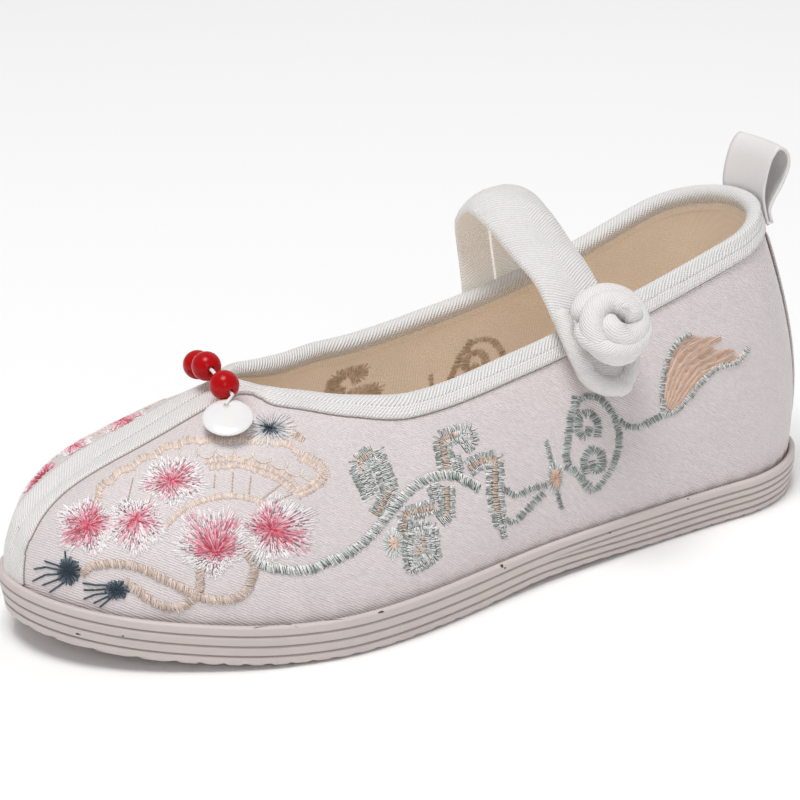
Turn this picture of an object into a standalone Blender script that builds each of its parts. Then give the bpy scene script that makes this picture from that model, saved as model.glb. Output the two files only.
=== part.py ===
"""Embroidered cloth shoe, left foot, standing empty on its sole.

Lengths in this file are millimetres and become metres in the meshes. In the shoe's own frame x runs
from the heel (0) to the toe, y to the outer (lateral) side, z up from the floor. The root empty moves
that frame so that the middle of the shoe's footprint is the origin.
"""

import math

import bmesh
import bpy
from mathutils import Vector
from mathutils.bvhtree import BVHTree

MM = 0.001
LATERAL = 1
MEDIAL = -1
SIDES = {"lateral": LATERAL, "medial": MEDIAL}

# Driving dimensions
SOLE_LENGTH = 200.0
SOLE_THICK = 9.5
TOE_SPRING = 6.2
ARCH_RISE = 0.8
LIP_THICK = 1.5
LIP_DEPTH = 2.6
WALL = 1.8
GAP = 0.3
INSOLE_THICK = 2.2
COLLAR_BACK_X = 12.0
THROAT_X = 146.0
THROAT_FOOT_X = 152.0
RIDGE_END_X = 187.0
BINDING_DEPTH = 6.8
BINDING_PROUD = 1.5
TAPE_HALF = 5.0
TAPE_THICK = 1.1
STRIP_HALF = 9.0
STRIP_THICK = 0.8
STRIP_TAPER = 0.2
STRIP_ROUND = 17.0
STRIP_BACK_X = 3.0
STRIP_LEAN = 0.12
LOOP_WIDTH = 16.0
LOOP_THICK = 0.8
STRAP_THICK = 3.4
KNOT_RADIUS = 9.2
BEAD_RADIUS = 3.2
BEAD_HOLE = 0.8
DISC_RADIUS = 5.4
DISC_THICK = 1.8
THREAD_RADIUS = 0.4

# Mesh resolution
SOLE_STEPS = 34
COLLAR_STEPS = 23
THROAT_STEPS = 7
THROAT_ROUND = 8.0
VAMP_STEPS = 12
WALL_ROWS = 8
BEAD_SIDES = 14
DISC_SIDES = 22


def table(columns, *rows):
    """A short table: named columns, one row for each section."""
    return {name: [row[i] for row in rows] for i, name in enumerate(columns.split())}


# Half widths of the sole's outline, before its ends are rounded
HEEL_ROUND = 28.0
TOE_ROUND = 46.0
PLAN = table(
    "x    lateral medial",
    (0,   25.6,   25.6),
    (26,  26.5,   26.5),
    (80,  33.0,   26.0),
    (138, 44.5,   35.0),
    (176, 37.0,   31.0),
    (200, 34.5,   29.0))

# Side of the sole from the floor up: ring heights and how far each ring stands out, at the forefoot
# and at the heel, where one more groove opens
SOLE_SIDE = table(
    "fore heel fore_out heel_out",
    (0.00, 0.00, -1.9, -1.9),
    (0.90, 0.80, -1.1, -1.1),
    (2.20, 1.80, -0.9, -0.9),
    (2.45, 2.05, -1.6, -1.6),
    (2.70, 2.30, -0.8, -0.8),
    (4.60, 3.70, -0.5, -0.6),
    (4.85, 3.95, -1.2, -1.3),
    (5.10, 4.20, -0.4, -0.5),
    (5.85, 5.50, -0.3, -0.3),
    (6.00, 5.75, -0.3, -1.0),
    (6.15, 6.00, -0.3, -0.2),
    (7.00, 7.20, -0.1, -0.1),
    (7.25, 7.45, -0.8, -0.8),
    (7.50, 7.70, 0.0, 0.0),
    (9.10, 9.10, 0.0, 0.0),
    (9.50, 9.50, -0.4, -0.4))
HEEL_GROOVE_END = 62.0
HEEL_GROOVE_START = 92.0

# Upper edge of the wall along the collar: half width and height
COLLAR_ROUND = 16.0
COLLAR = table(
    "x    half  z",
    (12,  17.5, 69.8),
    (28,  18.0, 64.9),
    (54,  17.4, 56.4),
    (84,  18.5, 49.2),
    (113, 19.8, 45.2),
    (125, 15.6, 45.8),
    (135, 10.8, 47.4),
    (146, 7.0,  49.4))

# Ridge of the wall over the front seam, from the throat to the top of the toe
RIDGE = table(
    "x    z",
    (146, 49.4),
    (152, 47.9),
    (160, 44.6),
    (170, 40.2),
    (180, 35.8),
    (187, 31.8))

# Meridians of the wall: s is 0 at the heel, 1 at the throat, 2 at the toe tip. The leans are degrees
# from upright, the reaches are parts of the chord from sole to top
WALL_FORM = table(
    "s   sole_lean lateral_lean medial_lean sole_reach top_reach",
    (0.0, 12, 15,  15,  0.38, 0.34),
    (0.4, 6,  26,  26,  0.34, 0.34),
    (0.8, 6,  44,  40,  0.34, 0.36),
    (1.0, 8,  80,  74,  0.36, 0.36),
    (1.3, 8,  92,  86,  0.38, 0.48),
    (1.6, 6,  101, 101, 0.40, 0.50),
    (2.0, 4,  68,  68,  0.42, 0.44))

# Blend of the meridians on both sides of the throat: half width and reach in s, and the v where it ends
THROAT_BLEND = 0.16
BLEND_REACH = 0.35
BLEND_TOP = 0.85
BLEND_TAPS = 6

# Binding's section: the face of the wall it lies on, how far it stands out from that face, and its
# depth below the wall's upper edge
BINDING = table(
    "face    out    depth",
    ("outer", 0.30,  6.8),
    ("outer", 1.00,  6.8),
    ("outer", 1.15,  5.0),
    ("outer", 0.90,  4.7),
    ("outer", 1.40,  4.3),
    ("outer", 1.50,  2.3),
    ("outer", 1.25,  0.4),
    ("outer", 0.40,  -1.0),
    ("outer", -0.90, -1.4),
    ("inner", 0.40,  -1.0),
    ("inner", 1.10,  0.4),
    ("inner", 1.10,  4.6),
    ("inner", 0.35,  4.6),
    ("inner", 0.35,  -0.35),
    ("outer", 0.30,  -0.35),
    ("outer", 0.30,  2.2),
    ("outer", 0.30,  4.6))

# Toe tape's upper face across the ridge: part of its half width, and part of its thickness
TAPE_ACROSS = table(
    "across height",
    (-1.00, 0.55),
    (-0.85, 0.95),
    (-0.45, 1.00),
    (-0.15, 0.90),
    (0.00,  0.45),
    (0.15,  0.90),
    (0.45,  1.00),
    (0.85,  0.95),
    (1.00,  0.55))

# Pull loop's path in the plane y = 0, up its inner leg, over and down its outer leg
LOOP_PATH = table(
    "x    z",
    (10.0, 70.6),
    (9.9,  75.0),
    (9.0,  79.3),
    (7.0,  81.8),
    (4.7,  80.8),
    (3.7,  77.5),
    (4.9,  73.4),
    (7.2,  69.6))
LOOP_TOP_Z = 82.0
LOOP_LEG_DEPTH = 7.0
LOOP_LEG_TOP = 4.0
LOOP_EASE = 0.1
LOOP_SECTIONS = 22

# Free arch of the instep strap: its middle line, width, slant of its width in plan and drop of its edges
STRAP_ARCH = table(
    "x    y     z     width slant bow",
    (68.2, -22.8, 62.0, 17.0, 0, 1.2),
    (70.0, -20.2, 71.0, 18.0, 0, 2.6),
    (70.5, -12.6, 76.2, 18.0, 0, 3.0),
    (70.3, -4.0,  73.8, 17.0, 0, 2.6),
    (69.8, 5.0,   68.4, 16.0, 2, 1.8),
    (69.4, 14.0,  62.6, 15.0, 4, 0.8))
STRAP_ENDS = table(
    "side     x     depth width slant",
    (MEDIAL,  67.0, 11.0, 16.0, -2),
    (MEDIAL,  67.2, 3.0,  16.0, -2),
    (LATERAL, 69.0, 3.0,  15.5, 6),
    (LATERAL, 68.2, 9.0,  18.0, 8),
    (LATERAL, 67.6, 15.5, 17.0, 8))
KNOT_SEAT = Vector((69.0, 23.4, 51.5))
STRAP_SECTIONS = 32
STRAP_AROUND = 12
STRAP_END_ROUND = 8.0
STRAP_END_LEAST = 0.3
BAND_ACROSS = 0.6
BAND_THROUGH = 0.8
KNOT_STEPS = 14
KNOT_SIDES = 20
KNOT_RIDGE = 0.07
KNOT_FLAT = 0.72
KNOT_TURNS = 9
KNOT_FINE = 240

# Beads and disc over the throat: middles of the beads, and where the disc lies on the vamp
CENTRE_BEAD_X = 149.6
BEAD_SEATS = table(
    "side     x      y",
    (LATERAL, 150.0, 8.0),
    (MEDIAL,  147.8, 8.0))
DISC_X = 153.0
DISC_Y = 14.0
DISC_HOLE_OFF = 3.3

COLOURS = {
    "outsole": ((0.80, 0.73, 0.71), 0.55),
    "insole": ((0.62, 0.50, 0.37), 0.90),
    "upper": ((0.80, 0.75, 0.76), 0.50),
    "collar_binding": ((0.86, 0.83, 0.82), 0.70),
    "toe_seam_tape": ((0.86, 0.83, 0.82), 0.70),
    "heel_strip": ((0.82, 0.77, 0.77), 0.50),
    "pull_loop": ((0.86, 0.84, 0.83), 0.45),
    "instep_strap": ((0.87, 0.85, 0.84), 0.70),
    "button_knot": ((0.87, 0.85, 0.84), 0.70),
    "bead": ((0.60, 0.01, 0.01), 0.15),
    "shell_disc": ((0.85, 0.83, 0.82), 0.20),
    "bead_thread": ((0.85, 0.78, 0.76), 0.60)}


# Curves and outlines

def smooth(xs, ys, x):
    """Monotone cubic curve through the points (xs, ys)."""
    if x <= xs[0]:
        return ys[0]
    if x >= xs[-1]:
        return ys[-1]
    steps = [b - a for a, b in zip(xs, xs[1:])]
    rises = [(b - a) / step for a, b, step in zip(ys, ys[1:], steps)]
    slopes = [rises[0]]
    for before, after in zip(rises, rises[1:]):
        slopes.append(2 * before * after / (before + after) if before * after > 0 else 0.0)
    slopes.append(rises[-1])
    i = max(k for k in range(len(steps)) if x >= xs[k])
    t = (x - xs[i]) / steps[i]
    return ((1 + 2 * t) * (1 - t) ** 2 * ys[i] + t * (1 - t) ** 2 * steps[i] * slopes[i]
            + t * t * (3 - 2 * t) * ys[i + 1] + t * t * (t - 1) * steps[i] * slopes[i + 1])


def ease(low, high, x):
    """0 below low, 1 above high, smooth between."""
    t = min(max((x - low) / (high - low), 0.0), 1.0)
    return t * t * (3 - 2 * t)


def round_end(distance, radius):
    """Factor that closes a width to 0 on an ellipse as the distance to its end goes to 0."""
    return math.sqrt(max(0.0, 1 - max(0.0, 1 - distance / radius) ** 2))


def spline(points, count):
    """Evenly spread points on a smooth curve through the given points."""
    ends = [points[0] * 2 - points[1]] + points + [points[-1] * 2 - points[-2]]
    fine = []
    for a, b, c, d in zip(ends, ends[1:], ends[2:], ends[3:]):
        for k in range(20):
            t = k / 20
            fine.append(0.5 * (b * 2 + (c - a) * t + (a * 2 - b * 5 + c * 4 - d) * t ** 2
                               + (b * 3 - a - c * 3 + d) * t ** 3))
    fine.append(points[-1])
    run = [0.0]
    for a, b in zip(fine, fine[1:]):
        run.append(run[-1] + (b - a).length)
    return [at_run(fine, run, run[-1] * k / (count - 1)) for k in range(count)]


def at_run(points, run, distance):
    """Point of a polyline at a distance along it."""
    i = max(k for k in range(len(points) - 1) if k == 0 or run[k] <= distance)
    return points[i].lerp(points[i + 1], min((distance - run[i]) / (run[i + 1] - run[i]), 1.0))


def outline_flat(u, side):
    """Point of the sole's outline in plan, u from 0 at the heel to 1 at the toe."""
    x = SOLE_LENGTH * (1 - math.cos(math.pi * u)) / 2
    half = smooth(PLAN["x"], PLAN["lateral" if side == LATERAL else "medial"], x)
    half *= round_end(x, HEEL_ROUND) * round_end(SOLE_LENGTH - x, TOE_ROUND)
    return Vector((x, side * half, 0.0))


def outline_normal(u, side):
    """Outward direction of the outline in plan."""
    if u < 1e-6:
        return Vector((-1.0, 0.0, 0.0))
    if u > 1 - 1e-6:
        return Vector((1.0, 0.0, 0.0))
    along = outline_flat(u + 1e-4, side) - outline_flat(u - 1e-4, side)
    return Vector((-side * along.y, side * along.x, 0.0)).normalized()


def outline(u, side, out, z_of_x):
    """Outline moved out by a distance, at the height that z_of_x gives."""
    point = outline_flat(u, side) + outline_normal(u, side) * out
    point.z = z_of_x(point.x)
    return point


def spring(x):
    """Rise of the sole towards the toe."""
    return TOE_SPRING * min(max((x / SOLE_LENGTH - 0.68) / 0.32, 0.0), 1.0) ** 2


def sole_floor(x):
    """Underside of the sole: flat at heel and forefoot, a low arch between, spring at the toe."""
    arch = ARCH_RISE * ease(50, 75, x) * (1 - ease(85, 108, x))
    return spring(x) + arch


def cup_floor(x):
    """Floor of the sole's cup, inside its lip."""
    return spring(x) + SOLE_THICK - LIP_DEPTH


# The upper's outer face

def foot_u(s):
    """Place on the outline where the wall's meridian s starts."""
    throat_u = math.acos(1 - 2 * THROAT_FOOT_X / SOLE_LENGTH) / math.pi
    return throat_u * s if s <= 1 else throat_u + (1 - throat_u) * (s - 1)


def collar_point(s, side):
    """Upper edge of the wall, s from 0 at the heel to 1 at the throat."""
    part = (1 - math.cos(math.pi * foot_u(s))) / (1 - math.cos(math.pi * foot_u(1)))
    x = COLLAR_BACK_X + (THROAT_X - COLLAR_BACK_X) * part
    half = smooth(COLLAR["x"], COLLAR["half"], x)
    half *= round_end(x - COLLAR_BACK_X, COLLAR_ROUND) * round_end(THROAT_X - x, THROAT_ROUND)
    return Vector((x, side * half, smooth(COLLAR["x"], COLLAR["z"], x)))


def ridge_point(s):
    """Ridge over the front seam, s from 1 at the throat to 2 at the top of the toe."""
    t = s - 1
    x = THROAT_X + (RIDGE_END_X - THROAT_X) * 0.5 * (t + math.sin(math.pi * t / 2))
    return Vector((x, 0.0, smooth(RIDGE["x"], RIDGE["z"], x)))


def meridian_point(s, side, v):
    """Point of one meridian: v is 0 at the sole and 1 at the collar or the ridge."""
    form = {name: smooth(WALL_FORM["s"], WALL_FORM[name], s) for name in WALL_FORM}
    foot = outline(foot_u(s), side, -LIP_THICK - GAP, lambda x: cup_floor(x) + GAP)
    top = collar_point(s, side) if s <= 1 else ridge_point(s)
    outward = outline_normal(foot_u(s), side)
    turn = ease(1.3, 2.0, s) + 1 - ease(0.6, 1.0, s)
    top_way = (outward * turn + Vector((0.0, side, 0.0)) * (1 - turn)).normalized()
    reach = (top - foot).length
    low = math.radians(form["sole_lean"])
    high = math.radians(form["lateral_lean" if side == LATERAL else "medial_lean"])
    up = Vector((0.0, 0.0, 1.0))
    a = foot + (up * math.cos(low) + outward * math.sin(low)) * reach * form["sole_reach"]
    handle = reach * form["top_reach"] - abs(top.y) * ease(0.7, 0.95, s)
    b = top + (top_way * math.sin(high) - up * math.cos(high)) * handle
    return foot * (1 - v) ** 3 + a * 3 * v * (1 - v) ** 2 + b * 3 * v * v * (1 - v) + top * v ** 3


def wall_point(s, side, v):
    """Outer face of the upper: meridians near the throat are blended with their neighbours."""
    middle = max(0.0, 4 * v * (BLEND_TOP - v)) / BLEND_TOP ** 2
    width = THROAT_BLEND * middle * math.exp(-((s - 1) / BLEND_REACH) ** 2)
    total = 0.0
    point = Vector()
    for k in range(-BLEND_TAPS, BLEND_TAPS + 1):
        part = k / BLEND_TAPS
        weight = (1 - part * part) ** 2 + 1e-6
        near = min(max(s + width * part, 0.0), 2.0)
        point += meridian_point(near, side, v) * weight
        total += weight
    return point / total


def collar_stations():
    """Values of s from heel to throat, close together round the throat."""
    span = (THROAT_X - COLLAR_BACK_X) / (1 - math.cos(math.pi * foot_u(1)))
    near_throat = []
    for k in range(THROAT_STEPS + 1):
        left = THROAT_ROUND * (1 - math.cos(math.pi / 2 * k / THROAT_STEPS))
        turn = math.acos((1 - (THROAT_X - COLLAR_BACK_X - left) / span))
        near_throat.append(turn / (math.pi * foot_u(1)))
    even = [k / COLLAR_STEPS for k in range(COLLAR_STEPS)]
    spare = 0.5 / COLLAR_STEPS
    return [s for s in even if s < near_throat[-1] - spare] + near_throat[::-1]


def upper_stations():
    """Values of s round one half of the upper."""
    return collar_stations() + [1 + (k + 1) / VAMP_STEPS for k in range(VAMP_STEPS)]


# Meshes and objects

def new_object(name, points, faces, colour_name=None):
    """A named object with its own material from points in millimetres, faces turned outwards."""
    mesh = bpy.data.meshes.new(name)
    mesh.from_pydata([point * MM for point in points], [], faces)
    work = bmesh.new()
    work.from_mesh(mesh)
    bmesh.ops.remove_doubles(work, verts=work.verts, dist=1e-6)
    bmesh.ops.recalc_face_normals(work, faces=work.faces)
    bmesh.ops.triangulate(work, faces=work.faces)
    work.to_mesh(mesh)
    work.free()
    mesh.shade_smooth()
    mesh.set_sharp_from_angle(angle=math.radians(50))
    item = bpy.data.objects.new(name, mesh)
    bpy.context.scene.collection.objects.link(item)
    item.parent = ROOT
    mesh.materials.append(new_material(name, colour_name or name))
    return item


def new_material(name, colour_name):
    """Principled material of a piece."""
    colour, roughness = COLOURS[colour_name]
    material = bpy.data.materials.new(name)
    material.use_nodes = True
    shader = material.node_tree.nodes["Principled BSDF"]
    shader.inputs["Base Color"].default_value = (*colour, 1.0)
    shader.inputs["Roughness"].default_value = roughness
    return material


def sweep(name, rings, closed=False, colour_name=None):
    """Solid through closed rings of equal length; open runs are capped, closed ones join up."""
    size = len(rings[0])
    points = [point for ring in rings for point in ring]
    faces = []
    for i in range(len(rings) - (0 if closed else 1)):
        a = i * size
        b = (i + 1) % len(rings) * size
        for k in range(size):
            m = (k + 1) % size
            faces.append((a + k, a + m, b + m, b + k))
    if not closed:
        last = (len(rings) - 1) * size
        faces.append(tuple(range(size)))
        faces.append(tuple(last + k for k in range(size)))
    return new_object(name, points, faces, colour_name)


def strip_cap(first, count):
    """Faces across a ring of the outline, from its lateral to its medial side."""
    half = count // 2
    faces = [(first, first + 1, first + count - 1)]
    for k in range(1, half - 1):
        faces.append((first + k, first + k + 1, first + count - k - 1, first + count - k))
    faces.append((first + half - 1, first + half, first + half + 1))
    return faces


def outline_ring(out_of_x, z_of_x):
    """Closed ring round the sole: lateral side heel to toe, then medial side back."""
    turn = [(k / SOLE_STEPS, LATERAL) for k in range(SOLE_STEPS + 1)]
    turn += [(k / SOLE_STEPS, MEDIAL) for k in range(SOLE_STEPS - 1, 0, -1)]
    return [outline(u, side, out_of_x(outline_flat(u, side).x), z_of_x) for u, side in turn]


def stacked(name, rings):
    """Solid of outline rings stacked from its underside to its top."""
    count = len(rings[0])
    points = [point for ring in rings for point in ring]
    faces = []
    for i in range(len(rings) - 1):
        for k in range(count):
            m = (k + 1) % count
            faces.append((i * count + k, i * count + m, (i + 1) * count + m, (i + 1) * count + k))
    faces += strip_cap(0, count) + strip_cap((len(rings) - 1) * count, count)
    return new_object(name, points, faces)


# Pieces

def build_outsole():
    """Cup sole: ribbed side, lip, and a sunk floor inside the lip."""
    rings = []
    for fore, heel, fore_out, heel_out in zip(*SOLE_SIDE.values()):
        def mix(x, a, b):
            return b + (a - b) * ease(HEEL_GROOVE_END, HEEL_GROOVE_START, x)

        def height(x, fore=fore, heel=heel):
            level = mix(x, fore, heel) / SOLE_THICK
            return sole_floor(x) * (1 - level) + (spring(x) + SOLE_THICK) * level

        rings.append(outline_ring(lambda x: mix(x, fore_out, heel_out), height))
    rings.append(outline_ring(lambda x: -LIP_THICK + 0.3, lambda x: spring(x) + SOLE_THICK))
    rings.append(outline_ring(lambda x: -LIP_THICK, lambda x: spring(x) + SOLE_THICK - 0.3))
    rings.append(outline_ring(lambda x: -LIP_THICK, cup_floor))
    return stacked("outsole", rings)


def build_insole():
    """Board inside the upper, on the cup's floor."""
    inset = -LIP_THICK - WALL - 2.5 * GAP
    rings = [outline_ring(lambda x: inset, lambda x: cup_floor(x) + GAP),
             outline_ring(lambda x: inset, lambda x: cup_floor(x) + GAP + INSOLE_THICK - 0.5),
             outline_ring(lambda x: inset - 0.6, lambda x: cup_floor(x) + GAP + INSOLE_THICK)]
    return stacked("insole", rings)


def upper_face():
    """Points and faces of the upper's outer face, both halves."""
    points = []
    faces = []
    stations = upper_stations()
    row = WALL_ROWS + 1
    for side in SIDES.values():
        first = len(points)
        for s in stations:
            points += [wall_point(s, side, k / WALL_ROWS) for k in range(row)]
        for i in range(len(stations) - 1):
            for k in range(WALL_ROWS):
                a = first + i * row + k
                quad = (a, a + row, a + row + 1, a + 1)
                faces.append(quad if side == MEDIAL else quad[::-1])
    return points, faces


def build_upper():
    """Hollow wall, open at the collar and underneath; gives its outer and inner face to build on."""
    points, faces = upper_face()
    item = new_object("upper", points, faces)
    wall = item.modifiers.new("wall", "SOLIDIFY")
    wall.thickness = WALL * MM
    wall.offset = -1.0
    wall.use_even_offset = True
    wall.use_quality_normals = True
    bpy.context.view_layer.update()
    whole = item.evaluated_get(bpy.context.evaluated_depsgraph_get()).data
    count = len(item.data.polygons)
    return Surface(whole, range(count)), Surface(whole, range(count, 2 * count))


class Surface:
    """One face of the upper's wall as built, to lay other pieces on."""

    def __init__(self, mesh, indices):
        self.points = [vertex.co / MM for vertex in mesh.vertices]
        self.faces = [tuple(mesh.polygons[k].vertices) for k in indices]
        self.normals = [Vector() for _ in self.points]
        for k, face in zip(indices, self.faces):
            for corner in face:
                self.normals[corner] += mesh.polygons[k].normal
        self.tree = BVHTree.FromPolygons(self.points, self.faces)

    def nearest(self, point):
        """Nearest point of the face and the smooth direction out of the wall there."""
        found, _, index, _ = self.tree.find_nearest(point)
        normal = Vector()
        for k in self.faces[index]:
            normal += self.normals[k].normalized() / ((self.points[k] - found).length + 0.2)
        return found, normal.normalized()

    def over(self, point, out):
        """Point that lies out from the face, beside the given point."""
        found, normal = self.nearest(point)
        return found + normal * out


def collar_ring():
    """Points round the wall's upper edge: lateral heel to throat, then medial back."""
    stations = collar_stations()
    ring = [collar_point(s, LATERAL) for s in stations]
    return ring + [collar_point(s, MEDIAL) for s in stations[-2:0:-1]]


def edge_frames(surface):
    """For each point of the collar ring: the point, outward direction and direction down the wall."""
    ring = collar_ring()
    frames = []
    for k, point in enumerate(ring):
        along = (ring[(k + 1) % len(ring)] - ring[k - 1]).normalized()
        _, normal = surface.nearest(point)
        normal = (normal - along * normal.dot(along)).normalized()
        down = normal.cross(along)
        frames.append((point, normal, down))
    if frames[0][2].z > 0:
        frames = [(point, normal, -down) for point, normal, down in frames]
    return frames


def build_binding(outer, inner):
    """Folded tape over the collar edge: outer leg with a piping step, crest and inner leg.

    The inner leg narrows in the tight bend of the throat.
    """
    rings = []
    for point, normal, down in edge_frames(outer):
        ring = []
        fold = 0.3 + 0.7 * ease(2.0, 25.0, THROAT_X - point.x)
        for face, out, depth in zip(*BINDING.values()):
            if face == "inner":
                found, lean = inner.nearest(point + down * max(depth, 0.0) * fold - normal * WALL)
            else:
                found, lean = outer.nearest(point + down * max(depth, 0.0))
            ring.append(found + lean * out + down * min(depth, 0.0))
        rings.append(ring)
    return sweep("collar_binding", rings, closed=True)


def build_toe_tape(surface):
    """Twin tapes over the front seam, from the binding at the throat to the lip at the toe."""
    path = [ridge_point(1 + k / VAMP_STEPS) for k in range(VAMP_STEPS + 1)]
    start = Vector((THROAT_X + BINDING_DEPTH + GAP, 0.0, 0.0))
    path = [point for point in path if point.x > start.x + 1.0]
    start.z = smooth(RIDGE["x"], RIDGE["z"], start.x)
    rows = [wall_point(2.0, LATERAL, 1 - k / WALL_ROWS) for k in range(1, WALL_ROWS + 1)]
    lip = spring(SOLE_LENGTH) + SOLE_THICK + GAP
    path = [start] + path + [point for point in rows if point.z > lip + 1.0]
    before = rows[[point.z > lip for point in rows].index(False) - 1]
    after = rows[[point.z > lip for point in rows].index(False)]
    path.append(before.lerp(after, (before.z - lip) / (before.z - after.z)))
    rings = []
    for point in path:
        upper_row = []
        lower_row = []
        for across, height in zip(*TAPE_ACROSS.values()):
            found, normal = surface.nearest(point + Vector((0.0, across * TAPE_HALF, 0.0)))
            upper_row.append(found + normal * (GAP + TAPE_THICK * height))
            lower_row.append(found + normal * GAP)
        rings.append(upper_row + lower_row[::-1])
    return sweep("toe_seam_tape", rings)


def build_heel_strip(surface):
    """Satin strip over the back seam, from the binding to the lip."""
    lip = SOLE_THICK + 2.2 * GAP
    high = COLLAR["z"][0] - BINDING_DEPTH - 2 * GAP
    rings = []
    steps = WALL_ROWS
    for k in range(steps + 1):
        z = high + (lip - high) * k / steps
        half = STRIP_HALF * (1 - STRIP_TAPER * k / steps)
        upper_row = []
        lower_row = []
        for across in (-1.0, -0.75, -0.5, -0.25, 0.0, 0.25, 0.5, 0.75, 1.0):
            y = across * half
            sag = STRIP_ROUND - math.sqrt(STRIP_ROUND ** 2 - y * y)
            found, normal = surface.nearest(Vector((sag + STRIP_BACK_X + STRIP_LEAN * (z - lip), y, z)))
            upper_row.append(found + normal * (GAP + STRIP_THICK))
            lower_row.append(found + normal * GAP)
        rings.append(upper_row + lower_row[::-1])
    return sweep("heel_strip", rings)


def flat_sections(path, widths, slants, bows, thick, around):
    """Rings of a flat rounded band along a path, its width near the x axis, its edges dropped by a bow."""
    rings = []
    for k, point in enumerate(path):
        along = path[min(k + 1, len(path) - 1)] - path[max(k - 1, 0)]
        along.normalize()
        slant = math.radians(slants[k])
        wide = Vector((math.cos(slant), math.sin(slant), 0.0))
        wide = (wide - along * wide.dot(along)).normalized()
        face = wide.cross(along)
        ring = []
        for j in range(around):
            turn = 2 * math.pi * j / around
            c, s = math.cos(turn), math.sin(turn)
            part = math.copysign(abs(c) ** BAND_ACROSS, c)
            t = math.copysign(abs(s) ** BAND_THROUGH, s) * thick / 2 - bows[k] * part ** 2
            ring.append(point + wide * part * widths[k] / 2 + face * t)
        rings.append(ring)
    return rings


def beside_wall(surface, side, x, depth, out):
    """Point beside the wall: at x along the collar, a depth below its edge, standing out from it."""
    frames = [f for f in edge_frames(surface) if f[0].y * side > 0]
    frames.sort(key=lambda frame: abs(frame[0].x - x))
    (a, _, a_down), (b, _, b_down) = frames[:2]
    part = (x - a.x) / (b.x - a.x)
    edge = a.lerp(b, part)
    down = a_down.lerp(b_down, part).normalized()
    return surface.over(edge + down * depth, out)


def strap_path(surface):
    """Middle line, width, slant and bow of the strap, from its medial end to its lateral end."""
    out = BINDING_PROUD + 3 * GAP + STRAP_THICK / 2
    rows = []
    for side, x, depth, width, slant in zip(*STRAP_ENDS.values()):
        rows.append((beside_wall(surface, side, x, depth, out), width, slant, 0.0))
    arch = [(Vector((x, y, z)), *rest) for x, y, z, *rest in zip(*STRAP_ARCH.values())]
    rows = rows[:2] + arch + rows[2:]
    points = [row[0] for row in rows]
    path = spline(points, STRAP_SECTIONS)
    run = [0.0]
    for a, b in zip(points, points[1:]):
        run.append(run[-1] + (b - a).length)
    places = [run[-1] * k / (STRAP_SECTIONS - 1) for k in range(STRAP_SECTIONS)]
    columns = [[smooth(run, [row[k] for row in rows], place) for place in places] for k in (1, 2, 3)]
    return path, *columns


def build_strap(surface):
    """Folded twill strap over the instep, with a rounded outer end."""
    path, widths, slants, bows = strap_path(surface)
    run = 0.0
    for k in range(len(path) - 1, 0, -1):
        widths[k] *= max(STRAP_END_LEAST, round_end(run, STRAP_END_ROUND))
        run += (path[k] - path[k - 1]).length
    return sweep("instep_strap", flat_sections(path, widths, slants, bows, STRAP_THICK, STRAP_AROUND))


def build_knot(surface):
    """Ball of the button knot, its cord as a spiral ridge, resting on the strap."""
    path = spline(strap_path(surface)[0], KNOT_FINE)
    seat = min(path, key=lambda p: (p - KNOT_SEAT).length)
    k = path.index(seat)
    along = (path[k + 1] - path[k - 1]).normalized()
    face = Vector((1.0, 0.0, 0.0)).cross(along).normalized()
    wide = along.cross(face)
    rings = []
    for i in range(1, KNOT_STEPS):
        tilt = math.pi * i / KNOT_STEPS
        ring = []
        for j in range(KNOT_SIDES):
            turn = 2 * math.pi * j / KNOT_SIDES
            radius = KNOT_RADIUS * (1 - KNOT_RIDGE + KNOT_RIDGE * math.cos(2 * turn - KNOT_TURNS * tilt))
            flat = (wide * math.cos(turn) + along * math.sin(turn)) * math.sin(tilt)
            ring.append((flat + face * KNOT_FLAT * math.cos(tilt)) * radius)
        rings.append(ring)
    depth = max(-point.dot(face) for ring in rings for point in ring)
    middle = seat + face * (STRAP_THICK / 2 + GAP + depth)
    return sweep("button_knot", [[middle + point for point in ring] for ring in rings])


def build_pull_loop(surface):
    """Ribbon loop whose two legs lie on the binding at the back of the heel."""
    inner = BINDING_PROUD + GAP + LOOP_THICK / 2 + LOOP_EASE
    outer = inner + LOOP_THICK + GAP
    back = collar_point(0.0, LATERAL)
    low = [surface.over(back - Vector((0.0, 0.0, depth)), inner) for depth in (LOOP_LEG_DEPTH, LOOP_LEG_TOP)]
    high = [surface.over(back - Vector((0.0, 0.0, depth)), outer) for depth in (LOOP_LEG_TOP, LOOP_LEG_DEPTH)]
    arch = [Vector((x, 0.0, z)) for x, z in zip(*LOOP_PATH.values())]
    path = spline(low + arch + high, LOOP_SECTIONS)
    rings = []
    for k, point in enumerate(path):
        along = path[min(k + 1, len(path) - 1)] - path[max(k - 1, 0)]
        along.normalize()
        face = Vector((-along.z, 0.0, along.x))
        bend = 1 - 0.5 * ease(back.z, LOOP_TOP_Z, point.z)
        front = []
        rear = []
        for across in (-1.0, -0.6, -0.2, 0.2, 0.6, 1.0):
            y = across * LOOP_WIDTH / 2
            sag = bend * COLLAR_ROUND * (1 - math.sqrt(1 - (y / COLLAR["half"][0]) ** 2))
            middle = point + Vector((sag, y, 0.0))
            front.append(middle + face * LOOP_THICK / 2)
            rear.append(middle - face * LOOP_THICK / 2)
        rings.append(front + rear[::-1])
    return sweep("pull_loop", rings)


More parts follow.
